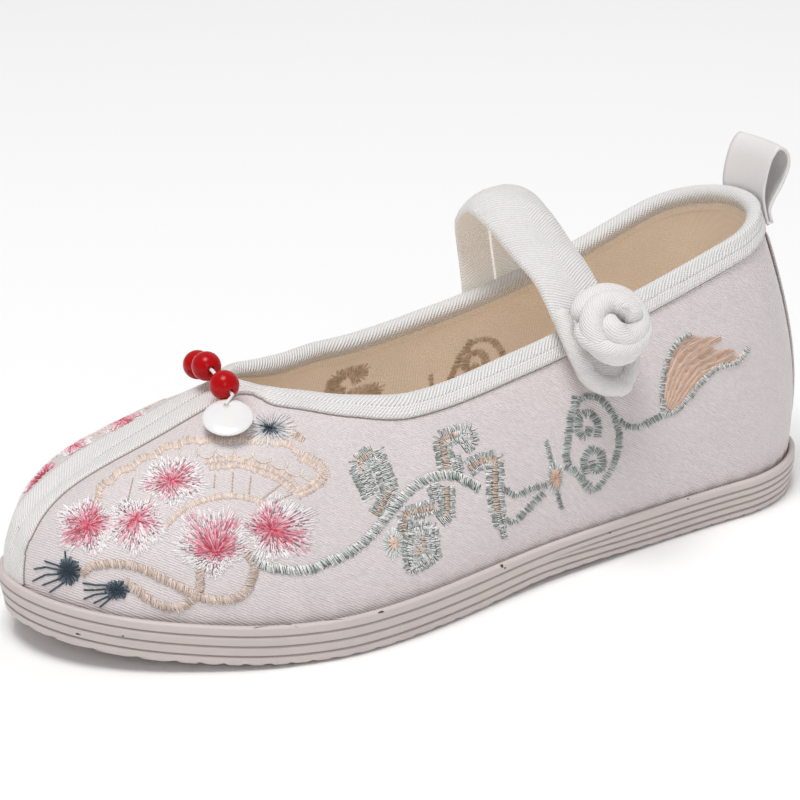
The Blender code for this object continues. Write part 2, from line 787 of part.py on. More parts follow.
def turned(name, middle, axis, profile, steps, colour_name, hole_off=None):
    """Ring turned about an axis; profile is radius and height in a closed loop from the hole out.

    With hole_off the hole lies that far from the middle, and the rings between it and the rim shift.
    """
    side = axis.orthogonal().normalized()
    other = axis.cross(side)
    inner = profile[0][0]
    outer = max(radius for radius, _ in profile)
    rings = []
    for j in range(steps):
        turn = 2 * math.pi * j / steps
        spoke = side * math.cos(turn) + other * math.sin(turn)
        ring = []
        for radius, height in profile:
            point = middle + spoke * radius + axis * height
            if hole_off:
                point += hole_off * (outer - radius) / (outer - inner)
            ring.append(point)
        rings.append(ring)
    return sweep(name, rings, closed=True, colour_name=colour_name)


def bead_profile():
    """Half section of a drilled bead."""
    start = math.asin(BEAD_HOLE / BEAD_RADIUS)
    steps = 9
    profile = []
    for k in range(steps + 1):
        tilt = start + (math.pi - 2 * start) * k / steps
        profile.append((BEAD_RADIUS * math.sin(tilt), BEAD_RADIUS * math.cos(tilt)))
    return profile


def disc_profile():
    """Half section of a shell disc with a domed face and a hole for the thread."""
    half = DISC_THICK / 2
    return [(BEAD_HOLE, half), (DISC_RADIUS * 0.6, half * 0.95), (DISC_RADIUS * 0.9, half * 0.55),
            (DISC_RADIUS, -half * 0.1), (DISC_RADIUS * 0.93, -half * 0.8), (DISC_RADIUS * 0.6, -half),
            (BEAD_HOLE, -half)]


def build_beads(surface):
    """Three beads over the throat on one thread, with a shell disc at its lateral end."""
    rest = BINDING_PROUD + GAP
    high = COLLAR["z"][-1]
    clear = BEAD_RADIUS + 0.5
    crown = surface.over(Vector((CENTRE_BEAD_X, 0.0, high)), rest + BEAD_RADIUS)
    beads = {}
    for name, (side, x, y) in zip(SIDES, zip(*BEAD_SEATS.values())):
        beads[name] = surface.over(Vector((x, side * y, high)), rest + BEAD_RADIUS)
    across = (beads["lateral"] - beads["medial"]).normalized()
    turned("bead_centre", crown, across, bead_profile(), BEAD_SIDES, "bead")
    legs = {}
    for name, side in SIDES.items():
        leave = crown + across * side * clear
        axis = (leave - beads[name]).normalized()
        turned("bead_" + name, beads[name], axis, bead_profile(), BEAD_SIDES, "bead")
        legs[name] = [beads[name] - axis * clear, beads[name] + axis * clear, leave]
    seat, lean = surface.nearest(Vector((DISC_X, DISC_Y, high - 5)))
    disc = seat + lean * (rest + DISC_THICK / 2)
    up_face = beads["lateral"] - disc
    hole_off = (up_face - lean * up_face.dot(lean)).normalized() * DISC_HOLE_OFF
    turned("shell_disc", disc, lean, disc_profile(), DISC_SIDES, "shell_disc", hole_off)
    hole = disc + hole_off
    through = DISC_THICK / 2 + THREAD_RADIUS
    stop = surface.over(legs["medial"][0], rest + THREAD_RADIUS)
    route = [hole - lean * through, hole + lean * through] + legs["lateral"]
    route += legs["medial"][::-1] + [stop]
    rings = []
    for k, point in enumerate(route):
        along = route[min(k + 1, len(route) - 1)] - route[max(k - 1, 0)]
        along.normalize()
        first = along.orthogonal().normalized() if k == 0 else first - along * first.dot(along)
        first.normalize()
        second = along.cross(first)
        rings.append([point + (first * math.cos(math.pi * j / 4) + second * math.sin(math.pi * j / 4))
                      * THREAD_RADIUS for j in range(8)])
    return sweep("bead_thread", rings)


for old in list(bpy.data.objects):
    bpy.data.objects.remove(old, do_unlink=True)
ROOT = bpy.data.objects.new("shoe", None)
bpy.context.scene.collection.objects.link(ROOT)
build_outsole()
build_insole()
SKIN, LINING = build_upper()
build_binding(SKIN, LINING)
build_toe_tape(SKIN)
build_heel_strip(SKIN)
build_pull_loop(SKIN)
build_strap(SKIN)
build_knot(SKIN)
build_beads(SKIN)
corners = [vertex.co for item in ROOT.children for vertex in item.data.vertices]
ROOT.location = (-(min(c.x for c in corners) + max(c.x for c in corners)) / 2,
                 -(min(c.y for c in corners) + max(c.y for c in corners)) / 2, 0.0)
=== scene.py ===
"""Looks of the embroidered cloth shoe: satin, twill, thread, rubber, beads, floor, light and camera.

Lengths are millimetres in the shoe's own frame, x from the heel to the toe, y to the outer side and z
up from the floor, until a mesh is made. Pixels are those of the photograph, 800 by 800.
"""

import math
import random

import bmesh
import bpy
import numpy as np
from mathutils import Matrix, Vector
from mathutils.bvhtree import BVHTree


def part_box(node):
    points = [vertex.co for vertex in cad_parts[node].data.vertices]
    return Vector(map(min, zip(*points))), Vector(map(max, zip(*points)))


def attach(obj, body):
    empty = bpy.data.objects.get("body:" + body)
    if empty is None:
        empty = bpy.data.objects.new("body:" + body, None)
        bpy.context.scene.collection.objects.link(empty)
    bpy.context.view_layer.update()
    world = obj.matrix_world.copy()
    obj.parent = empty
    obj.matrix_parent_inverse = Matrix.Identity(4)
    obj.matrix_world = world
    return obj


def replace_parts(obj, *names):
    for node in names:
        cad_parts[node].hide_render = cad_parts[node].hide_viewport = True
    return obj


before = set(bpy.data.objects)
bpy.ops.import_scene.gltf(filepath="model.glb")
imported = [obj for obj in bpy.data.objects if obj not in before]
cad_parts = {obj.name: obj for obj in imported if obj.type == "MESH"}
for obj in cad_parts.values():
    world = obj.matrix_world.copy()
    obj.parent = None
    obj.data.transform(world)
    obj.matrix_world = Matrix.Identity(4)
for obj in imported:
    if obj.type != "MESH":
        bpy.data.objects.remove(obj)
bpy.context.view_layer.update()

MM = 0.001
HEEL_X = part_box("outsole")[0].x / MM
AXIS_Y = (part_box("pull_loop")[0].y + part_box("pull_loop")[1].y) / 2 / MM
SHIFT = Vector((HEEL_X, AXIS_Y, 0.0))
UP = Vector((0.0, 0.0, 1.0))
LATERAL = 1
MEDIAL = -1
SIDE_NAMES = {LATERAL: "lateral", MEDIAL: "medial"}

# Camera, fitted to the photograph: it looks at TARGET from an azimuth and elevation
PHOTO = 800
TARGET = Vector((100.0, 0.0, 30.0))
AZIMUTH = math.radians(28.84)
ELEVATION = math.radians(21.44)
DISTANCE = 608.06
FOCAL_PIXELS = 2699.87
CENTRE_OFF = (17.36, 22.58)
ROLL = math.radians(-0.88)
SENSOR = 36.0

# Sizes of the shoe that the looks are built on
SOLE_LENGTH = 200.0
SOLE_THICK = 9.5
TOE_SPRING = 6.2
SPRING_START = 0.68
SPRING_SPAN = 0.32
ARCH_RISE = 0.8
ARCH_BACK = (50, 75)
ARCH_FRONT = (85, 108)
LIP_THICK = 1.5
LIP_DEPTH = 2.6
WALL = 1.8
COLLAR_BACK_X = 12.0
THROAT_X = 146.0
THROAT_ROUND = 8.0
COLLAR_ROUND = 16.0
HEEL_ROUND = 28.0
TOE_ROUND = 46.0


def table(columns, *rows):
    """A short table: named columns, one row for each section."""
    return {name: [row[i] for row in rows] for i, name in enumerate(columns.split())}


def rows_of(columns):
    """The rows of a table, one after another."""
    return zip(*columns.values())


PLAN = table(
    "x    lateral medial",
    (0,   25.6,   25.6),
    (26,  26.5,   26.5),
    (80,  33.0,   26.0),
    (138, 44.5,   35.0),
    (176, 37.0,   31.0),
    (200, 34.5,   29.0))
COLLAR = table(
    "x    half  z",
    (12,  17.5, 69.8),
    (28,  18.0, 64.9),
    (54,  17.4, 56.4),
    (84,  18.5, 49.2),
    (113, 19.8, 45.2),
    (125, 15.6, 45.8),
    (135, 10.8, 47.4),
    (146, 7.0,  49.4))
RIDGE = table(
    "x    z",
    (146, 49.4),
    (152, 47.9),
    (160, 44.6),
    (170, 40.2),
    (180, 35.8),
    (187, 31.8))


# Curves

def smooth(xs, ys, x):
    """Monotone cubic curve through the points (xs, ys)."""
    if x <= xs[0]:
        return ys[0]
    if x >= xs[-1]:
        return ys[-1]
    steps = [b - a for a, b in zip(xs, xs[1:])]
    rises = [(b - a) / step for a, b, step in zip(ys, ys[1:], steps)]
    slopes = [rises[0]]
    for before, after in zip(rises, rises[1:]):
        slopes.append(2 * before * after / (before + after) if before * after > 0 else 0.0)
    slopes.append(rises[-1])
    i = max(k for k in range(len(steps)) if x >= xs[k])
    t = (x - xs[i]) / steps[i]
    return ((1 + 2 * t) * (1 - t) ** 2 * ys[i] + t * (1 - t) ** 2 * steps[i] * slopes[i]
            + t * t * (3 - 2 * t) * ys[i + 1] + t * t * (t - 1) * steps[i] * slopes[i + 1])


def ease(low, high, x):
    """0 below low, 1 above high, smooth between."""
    t = min(max((x - low) / (high - low), 0.0), 1.0)
    return t * t * (3 - 2 * t)


def round_end(distance, radius):
    """Factor that closes a width to 0 on an ellipse as the distance to its end goes to 0."""
    return math.sqrt(max(0.0, 1 - max(0.0, 1 - distance / radius) ** 2))


def run_lengths(points):
    """Distance along a polyline at each of its points."""
    run = [0.0]
    for a, b in zip(points, points[1:]):
        run.append(run[-1] + (b - a).length)
    return run


def spread(points, count):
    """Evenly spread points on a polyline."""
    run = run_lengths(points)
    places = np.linspace(0, run[-1], count)
    columns = [np.interp(places, run, [p[k] for p in points]) for k in range(len(points[0]))]
    return [Vector(row) for row in zip(*columns)]


def at_shares(points, shares):
    """Points at shares of the length of a polyline in the picture."""
    points = np.array(points, float)
    lengths = np.append(0.0, np.cumsum(np.hypot(*np.diff(points, axis=0).T)))
    places = [part * lengths[-1] for part in shares]
    return list(zip(*(np.interp(places, lengths, column) for column in points.T)))


def spline(points, count, per_span=16):
    """Evenly spread points on a smooth curve through the given points."""
    points = [Vector(p) for p in points]
    ends = [points[0] * 2 - points[1]] + points + [points[-1] * 2 - points[-2]]
    fine = []
    for a, b, c, d in zip(ends, ends[1:], ends[2:], ends[3:]):
        for k in range(per_span):
            t = k / per_span
            fine.append(0.5 * (b * 2 + (c - a) * t + (a * 2 - b * 5 + c * 4 - d) * t ** 2
                               + (b * 3 - a - c * 3 + d) * t ** 3))
    fine.append(points[-1])
    return spread(fine, count)


def way_at(line, k, closed=False):
    """Direction of a line at its point k."""
    if closed:
        return (line[(k + 1) % len(line)] - line[k - 1]).normalized()
    return (line[min(k + 1, len(line) - 1)] - line[max(k - 1, 0)]).normalized()


# The camera's view of the shoe

VIEW_FROM = Vector((math.sin(AZIMUTH) * math.cos(ELEVATION), math.cos(AZIMUTH) * math.cos(ELEVATION),
                    math.sin(ELEVATION)))
EYE = TARGET + VIEW_FROM * DISTANCE
LEVEL_RIGHT = (-VIEW_FROM).cross(UP).normalized()
LEVEL_UP = LEVEL_RIGHT.cross(-VIEW_FROM)
VIEW_RIGHT = LEVEL_RIGHT * math.cos(ROLL) + LEVEL_UP * math.sin(ROLL)
VIEW_UP = LEVEL_UP * math.cos(ROLL) - LEVEL_RIGHT * math.sin(ROLL)


def sight(px, py):
    """Direction from the eye through a pixel."""
    across = (px - PHOTO / 2 - CENTRE_OFF[0]) / FOCAL_PIXELS
    down = (py - PHOTO / 2 - CENTRE_OFF[1]) / FOCAL_PIXELS
    return (VIEW_RIGHT * across - VIEW_UP * down - VIEW_FROM).normalized()


def add_object(name, data):
    """New object in the scene."""
    item = bpy.data.objects.new(name, data)
    bpy.context.scene.collection.objects.link(item)
    return item


def add_camera():
    """Camera at the photograph's viewing angle."""
    data = bpy.data.cameras.new("camera")
    data.sensor_width = SENSOR
    data.lens = FOCAL_PIXELS / PHOTO * SENSOR
    data.shift_x = -CENTRE_OFF[0] / PHOTO
    data.shift_y = CENTRE_OFF[1] / PHOTO
    item = add_object("camera", data)
    turn = Matrix((VIEW_RIGHT, VIEW_UP, VIEW_FROM)).transposed().to_4x4()
    item.matrix_world = Matrix.Translation((EYE + SHIFT) * MM) @ turn
    bpy.context.scene.camera = item


# Materials

FINISHES = {}


class Wire:
    """A shader socket that expressions can be written with; each operation adds a Math node."""

    def __init__(self, finish, socket):
        self.finish = finish
        self.socket = socket

    def math(self, operation, *others):
        return self.finish.node("ShaderNodeMath", {"operation": operation}, [self, *others])

    def __add__(self, other):
        return self.math("ADD", other)

    def __sub__(self, other):
        return self.math("SUBTRACT", other)

    def __rsub__(self, other):
        return self.finish.node("ShaderNodeMath", {"operation": "SUBTRACT"}, [other, self])

    def __mul__(self, other):
        return self.math("MULTIPLY", other)

    __radd__ = __add__
    __rmul__ = __mul__

    def sine(self):
        return self.math("SINE")

    def clamped(self):
        return self.finish.node("ShaderNodeClamp", {}, [self, 0.0, 1.0])


class Finish:
    """A material in the making: its Principled shader and one method that adds any other node."""

    def __init__(self, name, colour, roughness, constants=None):
        self.material = bpy.data.materials.new(name)
        FINISHES[name] = self.material
        self.material.use_nodes = True
        self.tree = self.material.node_tree
        self.shader = self.tree.nodes["Principled BSDF"]
        self.shader.inputs["Base Color"].default_value = (*colour, 1.0)
        self.shader.inputs["Roughness"].default_value = roughness
        for socket, value in (constants or {}).items():
            self.shader.inputs[socket].default_value = value

    def node(self, kind, settings, sockets, output=0):
        """A new node: settings first, then the values or links of its sockets."""
        made = self.tree.nodes.new(kind)
        for name, value in settings.items():
            if name == "stops":
                self.set_stops(made.color_ramp.elements, value)
            else:
                setattr(made, name, value)
        pairs = sockets.items() if isinstance(sockets, dict) else enumerate(sockets)
        for name, value in pairs:
            if isinstance(value, Wire):
                self.tree.links.new(value.socket, made.inputs[name])
            else:
                made.inputs[name].default_value = value
        return Wire(self, made.outputs[output])

    @staticmethod
    def set_stops(elements, stops):
        while len(elements) < len(stops):
            elements.new(0.5)
        for element, (place, colour) in zip(elements, stops):
            element.position = place
            element.color = (*colour, 1.0)

    def feed(self, socket, wire):
        self.tree.links.new(wire.socket, self.shader.inputs[socket])

    def place(self):
        """Place on the object, in millimetres."""
        spot = self.node("ShaderNodeTexCoord", {}, {}, "Object")
        return self.node("ShaderNodeVectorMath", {"operation": "SCALE"}, {0: spot, "Scale": 1 / MM})

    def along(self, direction):
        """Distance along a direction, in millimetres."""
        return self.node("ShaderNodeVectorMath", {"operation": "DOT_PRODUCT"},
                         {0: self.place(), 1: direction}, "Value")

    def attribute(self, name, output="Fac"):
        return self.node("ShaderNodeAttribute", {"attribute_name": name}, {}, output)

    def noise(self, size, detail=2.0, vector=None):
        """Noise from 0 to 1 whose blotches are about size millimetres."""
        sockets = {"Vector": vector or self.place(), "Scale": 1 / size, "Detail": detail}
        return self.node("ShaderNodeTexNoise", {}, sockets, "Fac")

    def streaks(self, way, width, length):
        """Noise drawn out along a direction: streaks of a width and a length in millimetres."""
        way = Vector(way).normalized()
        side = way.orthogonal().normalized()
        parts = [self.along(way) * (1 / length), self.along(side) * (1 / width),
                 self.along(way.cross(side)) * (1 / width)]
        return self.noise(1.0, vector=self.node("ShaderNodeCombineXYZ", {}, parts))

    def mix(self, factor, a, b):
        """Colour between a and b."""
        colours = {6: a if isinstance(a, Wire) else (*a, 1.0), 7: b if isinstance(b, Wire) else (*b, 1.0)}
        return self.node("ShaderNodeMix", {"data_type": "RGBA"}, {0: factor, **colours}, 2)

    def tone(self, factor, colour, dark):
        """Base colour that goes from a dark share of a colour to the colour itself."""
        darker = tuple(c * dark for c in colour)
        self.feed("Base Color", self.mix(factor, darker, colour))

    def bump(self, height, distance):
        """Relief of a height from 0 to 1 over a distance in millimetres."""
        self.feed("Normal", self.node("ShaderNodeBump", {}, {"Height": height, "Distance": distance * MM}))


def wave(wire, pitch):
    """Smooth ridges from 0 to 1 at a pitch, across a distance in millimetres."""
    return (wire * (2 * math.pi / pitch)).sine() * 0.5 + 0.5


def satin_finish(name, colour):
    """Satin cloth: short slanting floats of thread, soft gloss, slight unevenness of tone."""
    made = Finish(name, colour, 0.42, {"Sheen Weight": 0.25, "Sheen Roughness": 0.4})
    floats = made.streaks((0.82, 0.0, 0.57), width=0.4, length=1.6)
    ridges = wave(made.along((0.57, 0.25, -0.82)) + made.noise(size=1.6) * 0.35, pitch=0.52)
    uneven = made.noise(size=32.0)
    lighter = tuple(min(1.0, c * 1.07) for c in colour)
    made.tone((ridges * 0.5 + floats * 1.3 + uneven * 0.4 - 0.6).clamped(), lighter, dark=0.785)
    made.feed("Roughness", floats * 0.3 + uneven * 0.1 + 0.25)
    made.bump(floats * 0.6 + ridges * 0.5, distance=0.2)


def twill_finish(name, colour, pitch, slope, contrast, painted_glow):
    """Twill tape: slanting ridges by its along and across lengths; its emission is painted light that stands
    in for light through the cloth.
    """
    made = Finish(name, colour, 0.7, {"Sheen Weight": 0.3, "Sheen Roughness": 0.5,
                                      "Emission Color": (*colour, 1.0), "Emission Strength": painted_glow})
    lengthwise = made.attribute("along") + made.noise(size=3.0) * 0.5
    ridge = wave(lengthwise + made.attribute("across") * slope, pitch)
    twist = wave(lengthwise * 0.6 - made.attribute("across"), pitch * 0.6)
    fuzz = made.noise(size=0.7, detail=3.0)
    made.tone((ridge * 0.9 + fuzz * 0.5 - 0.1).clamped(), colour, dark=1 - contrast)
    made.bump(ridge * 0.75 + twist * 0.2 + fuzz * 0.35, distance=1.1 * contrast)


def canvas_finish(name, colour, painted_glow):
    """Plain canvas of the lining and the insole; its emission is painted light that brightens the shadowed
    inside and stands in for light through the cloth.
    """
    made = Finish(name, colour, 0.88, {"Emission Color": (*colour, 1.0), "Emission Strength": painted_glow})
    warp = wave(made.along((1.0, 0.2, 0.0)), pitch=0.7)
    weft = wave(made.along((0.0, 0.5, 1.0)), pitch=0.7)
    uneven = made.noise(size=14.0, detail=4.0)
    made.tone((uneven * 0.8 + warp * weft * 0.3).clamped(), colour, dark=0.78)
    made.bump(warp * 0.5 + weft * 0.5, distance=0.12)


def rubber_finish(name, colour, painted_groove_shade):
    """Moulded pale rubber: faint mottling, and painted shade that darkens the grooves and the tread's
    notches.
    """
    made = Finish(name, colour, 0.5)
    mottle = made.noise(size=22.0, detail=4.0)
    groove = made.attribute("groove")
    body = made.mix(mottle, tuple(c * 0.86 for c in colour), colour)
    made.feed("Base Color", made.mix((groove * 0.7).clamped(), body, painted_groove_shade))
    made.feed("Roughness", mottle * 0.2 + groove * 0.2 + 0.38)
    made.bump(made.noise(size=0.9, detail=3.0), distance=0.03)


def thread_finish(name):
    """Embroidery floss: each stitch has its own tint, with a silky gloss."""
    made = Finish(name, (0.8, 0.8, 0.8), 0.42, {"Sheen Weight": 0.2})
    made.feed("Base Color", made.attribute("tint", "Color"))


def bead_finish(name, dark_red, red):
    """Polished red bead."""
    made = Finish(name, red, 0.22, {"Specular IOR Level": 0.22})
    uneven = made.noise(size=2.5)
    made.feed("Base Color", made.mix(uneven, dark_red, red))
    made.feed("Roughness", uneven * 0.08 + 0.18)


def shell_finish(name, clouds):
    """Mother-of-pearl: white with faint pink and green clouds and a polished face."""
    made = Finish(name, clouds[0][1], 0.2, {"Coat Weight": 0.5, "Coat Roughness": 0.08})
    ramp = made.node("ShaderNodeValToRGB", {"stops": clouds}, [made.noise(size=4.0, detail=3.0)])
    made.feed("Base Color", ramp)


def ribbon_finish(name, colour):
    """Satin ribbon of the pull loop: fine floats along it."""
    made = Finish(name, colour, 0.36, {"Sheen Weight": 0.2})
    floats = made.streaks((0.2, 0.0, 1.0), width=0.3, length=1.4)
    made.tone((floats * 0.7 + made.noise(size=10.0) * 0.5 - 0.1).clamped(), colour, dark=0.88)
    made.feed("Roughness", floats * 0.25 + 0.25)
    made.bump(floats, distance=0.1)


# The last column is painted light: emission that brightens the strap's underside and its seam cord. The
# underside is a warmer, darker copy of the strap twill.
TWILLS = table(
    "name           colour                pitch slope contrast glow",
    ("twill",       (0.96, 0.945, 0.93),  0.9,  0.8,  0.26,    0.0),
    ("fine_twill",  (0.91, 0.885, 0.865), 0.7,  -0.7, 0.20,    0.0),
    ("strap_twill", (0.86, 0.84, 0.83),   0.7,  0.55, 0.17,    0.0),
    ("strap_under", (0.86, 0.80, 0.73),   0.7,  0.55, 0.17,    0.2),
    ("strap_seam",  (0.95, 0.93, 0.90),   0.7,  0.55, 0.10,    0.4),
    ("knot_twill",  (0.89, 0.865, 0.85),  0.6,  0.8,  0.13,    0.0))
# The last column is painted light: emission that brightens the facing, the lining and the insole in the
# shadowed inside of the shoe.
CANVASES = table(
    "name            colour                glow",
    ("facing",       (0.95, 0.83, 0.70),   0.08),
    ("lining",       (0.93, 0.81, 0.68),   0.11),
    ("insole_cloth", (0.86, 0.70, 0.53),   0.08),
    ("scuff",        (0.10, 0.075, 0.065), 0.0),
    ("seam_shadow",  (0.36, 0.29, 0.26),   0.0))
PEARL_CLOUDS = ((0.30, (0.83, 0.79, 0.80)), (0.50, (0.84, 0.84, 0.84)), (0.70, (0.86, 0.83, 0.79)))
satin_finish("satin", (0.77, 0.70, 0.70))
# A darker copy of the satin for the heel strip: painted shade at the back of the heel.
satin_finish("heel_satin", (0.67, 0.60, 0.60))
for twill in rows_of(TWILLS):
    twill_finish(*twill)
for canvas in rows_of(CANVASES):
    canvas_finish(*canvas)
# The last colour is the painted shade in the grooves and notches.
rubber_finish("rubber", (0.66, 0.58, 0.56), (0.30, 0.235, 0.22))
thread_finish("thread")
bead_finish("bead_red", (0.40, 0.0, 0.002), (0.50, 0.0, 0.003))
shell_finish("mother_of_pearl", PEARL_CLOUDS)
ribbon_finish("ribbon", (0.86, 0.83, 0.825))


# Meshes

CORD_AROUND = 14
CORD_TIP = 0.25
FINE_LEVELS = 2
SAME_SPOT = 1e-7
JOIN_TURN = math.radians(60)
JOIN_SHAPE = math.radians(100)
NEAR_CALM = 0.1


def add_piece(name, points, faces, finishes, attributes=None, tints=None):
    """A piece of the shoe from points in millimetres, riding on the shoe's only body."""
    mesh = bpy.data.meshes.new(name)
    mesh.from_pydata([(p + SHIFT) * MM for p in points], [], faces)
    return finish_piece(name, mesh, finishes, attributes, tints)


def turn_outward(mesh):
    """Reverses the faces of a closed mesh that look inward."""
    work = bmesh.new()
    work.from_mesh(mesh)
    inside_out = work.calc_volume(signed=True) < 0
    work.free()
    if inside_out:
        mesh.flip_normals()


def finish_piece(name, mesh, finishes, attributes=None, tints=None):
    """An object of a mesh in the frame's own metres, with its finishes and point values."""
    turn_outward(mesh)
    for key, values in (attributes or {}).items():
        layer = mesh.attributes.new(key, "FLOAT", "POINT")
        layer.data.foreach_set("value", np.asarray(values, np.float32))
    if tints is not None:
        layer = mesh.attributes.new("tint", "FLOAT_COLOR", "POINT")
        rgba = np.ones((len(tints), 4), np.float32)
        rgba[:, :3] = tints
        layer.data.foreach_set("color", rgba.ravel())
    for key in finishes if isinstance(finishes, (list, tuple)) else [finishes]:
        mesh.materials.append(FINISHES[key])
    mesh.shade_smooth()
    item = add_object(name, mesh)
    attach(item, "root")
    return item


def tube_faces(rings, size, closed=False, caps=True):
    """Faces of rings of equal size, one after another."""
    faces = []
    for i in range(rings - (0 if closed else 1)):
        a = i * size
        b = (i + 1) % rings * size
        for k in range(size):
            m = (k + 1) % size
            faces.append((a + k, b + k, b + m, a + m))
    if caps and not closed:
        last = (rings - 1) * size
        faces.append(tuple(range(size)))
        faces.append(tuple(last + k for k in range(size - 1, -1, -1)))
    return faces


def dress(node, finish):
    """Gives a CAD solid that stays in sight its finish."""
    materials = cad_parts[node].data.materials
    materials.clear()
    materials.append(FINISHES[finish])


def node_middle(node):
    """Middle of a CAD solid's box, in millimetres."""
    low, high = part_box(node)
    return (low + high) / 2 / MM - SHIFT


def fine_mesh(node):
    """Subdivided copy of a CAD solid's mesh, its triangles joined back to quads first."""
    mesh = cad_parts[node].data.copy()
    work = bmesh.new()
    work.from_mesh(mesh)
    bmesh.ops.remove_doubles(work, verts=work.verts, dist=SAME_SPOT)
    bmesh.ops.join_triangles(work, faces=work.faces, angle_face_threshold=JOIN_TURN,
                             angle_shape_threshold=JOIN_SHAPE)
    work.to_mesh(mesh)
    work.free()
    item = add_object("work", mesh)
    rounder = item.modifiers.new("rounder", "SUBSURF")
    rounder.levels = FINE_LEVELS
    bpy.context.view_layer.update()
    fine = bpy.data.meshes.new_from_object(item.evaluated_get(bpy.context.evaluated_depsgraph_get()))
    bpy.data.objects.remove(item)
    fine.materials.clear()
    return fine


class Strip:
    """Rings of points of a tape or cord, with the lengths along and across it that its twill follows."""

    def __init__(self):
        self.points = []
        self.along = []
        self.across = []

    def add(self, point, along, across):
        self.points.append(point)
        self.along.append(along)
        self.across.append(across)

    def build(self, name, size, finishes, slot, closed=False, caps=True):
        faces = tube_faces(len(self.points) // size, size, closed, caps)
        lengths = {"along": self.along, "across": self.across}
        return add_piece(name, self.points, faces, finishes, lengths)


def add_cord(name, line, radius, finish, slot, closed=False, hidden=None):
    """Round twill cord along a fine line; its ribs meet on the side towards a hidden point."""
    cord = Strip()
    run = run_lengths(line)
    side = None
    for k, point in enumerate(line):
        way = way_at(line, k, closed)
        if hidden:
            side = hidden - point
        elif side is None:
            side = way.orthogonal()
        side = (side - way * side.dot(way)).normalized()
        other = way.cross(side)
        thick = radius
        if not closed:
            thick *= max(CORD_TIP, min(round_end(run[k], radius), round_end(run[-1] - run[k], radius)))
        for j in range(CORD_AROUND):
            turn = 2 * math.pi * j / CORD_AROUND
            place = point + (side * math.cos(turn) + other * math.sin(turn)) * thick
            cord.add(place, run[k], radius * (turn if hidden else abs(turn - math.pi)))
    return cord.build(name, CORD_AROUND, finish, slot, closed)


class Skin:
    """A surface to lay things on, in the shoe's millimetres."""

    def __init__(self, points, faces):
        self.points = points
        self.faces = faces
        self.tree = BVHTree.FromPolygons(points, faces)
        self.normals = [Vector() for _ in points]
        for face in faces:
            a, b, c = (points[k] for k in face[:3])
            normal = (b - a).cross(c - b)
            for k in face:
                self.normals[k] += normal

    def smooth_normal(self, spot, index):
        normal = Vector()
        for k in self.faces[index]:
            normal += self.normals[k].normalized() / ((self.points[k] - spot).length + NEAR_CALM)
        return normal.normalized()

    def nearest(self, point):
        """Nearest point and the smooth direction out of the surface there."""
        spot, _, index, _ = self.tree.find_nearest(point)
        return spot, self.smooth_normal(spot, index)

    def seen(self, px, py):
        """Point and outward direction where a pixel's line of sight meets the surface."""
        spot, _, index, _ = self.tree.ray_cast(EYE, sight(px, py))
        if spot is None:
            return None
        return spot, self.smooth_normal(spot, index)


# The upper

def spring(x):
    """Rise of the sole towards the toe."""
    return TOE_SPRING * min(max((x / SOLE_LENGTH - SPRING_START) / SPRING_SPAN, 0.0), 1.0) ** 2


# Soft troughs and swells of the satin: their ends as x and z, how far they reach and how deep they go
TROUGHS = table(
    "side     start      end        reach depth",
    (LATERAL, (118, 40), (128, 22), 5.0,  -0.45),
    (LATERAL, (96, 42),  (100, 24), 6.0,  0.35),
    (LATERAL, (60, 36),  (74, 18),  7.0,  -0.40),
    (LATERAL, (28, 50),  (22, 26),  6.0,  -0.45),
    (LATERAL, (176, 20), (190, 19), 2.4,  -0.30),
    (MEDIAL,  (120, 40), (127, 23), 5.0,  -0.45),
    (MEDIAL,  (84, 38),  (92, 20),  6.0,  -0.40),
    (MEDIAL,  (36, 46),  (27, 24),  6.0,  -0.45),
    (MEDIAL,  (172, 20), (188, 19), 2.4,  -0.30))
PUCKER_PITCH = 6.5
PUCKER_DEEP = 0.16
PUCKER_FADE = 5.0
PUCKER_SLANT = 0.8
HEART_X = (30.0, 165.0)
HEART_Z = 20.0


def press(point):
    """How far the satin swells or sinks at a point of the wall."""
    deep = 0.0
    for side, start, end, reach, depth in rows_of(TROUGHS):
        if side != (LATERAL if point.y > 0 else MEDIAL):
            continue
        way = Vector(end) - Vector(start)
        spot = Vector((point.x, point.z)) - Vector(start)
        part = min(max(spot.dot(way) / way.length_squared, 0.0), 1.0)
        deep += depth * math.exp(-((spot - way * part).length / reach) ** 2)
    low = point.z - spring(point.x) - SOLE_THICK
    pucker = math.sin(2 * math.pi * (point.x + PUCKER_SLANT * point.y) / PUCKER_PITCH)
    return deep + PUCKER_DEEP * pucker * math.exp(-(low / PUCKER_FADE) ** 2)


def add_upper():
    """Satin outside, canvas inside; gives the two faces as surfaces to lay things on."""
    mesh = fine_mesh("upper")
    outer = []
    inner = []
    for polygon in mesh.polygons:
        middle = polygon.center / MM - SHIFT
        heart = Vector((min(max(middle.x, HEART_X[0]), HEART_X[1]), 0.0, HEART_Z))
        inside = polygon.normal.dot(heart - middle) > 0
        polygon.material_index = 1 if inside else 0
        (inner if inside else outer).append(tuple(polygon.vertices))
    ways = [vertex.normal.copy() for vertex in mesh.vertices]
    for index in {k for face in outer for k in face}:
        vertex = mesh.vertices[index]
        vertex.co += ways[index] * press(vertex.co / MM - SHIFT) * MM
    points = [v.co / MM - SHIFT for v in mesh.vertices]
    item = finish_piece("satin_upper", mesh, ["satin", "lining"])
    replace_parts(item, "upper")
    return Skin(points, outer), Skin(points, inner)


SKIN, LINING = add_upper()


# The sole

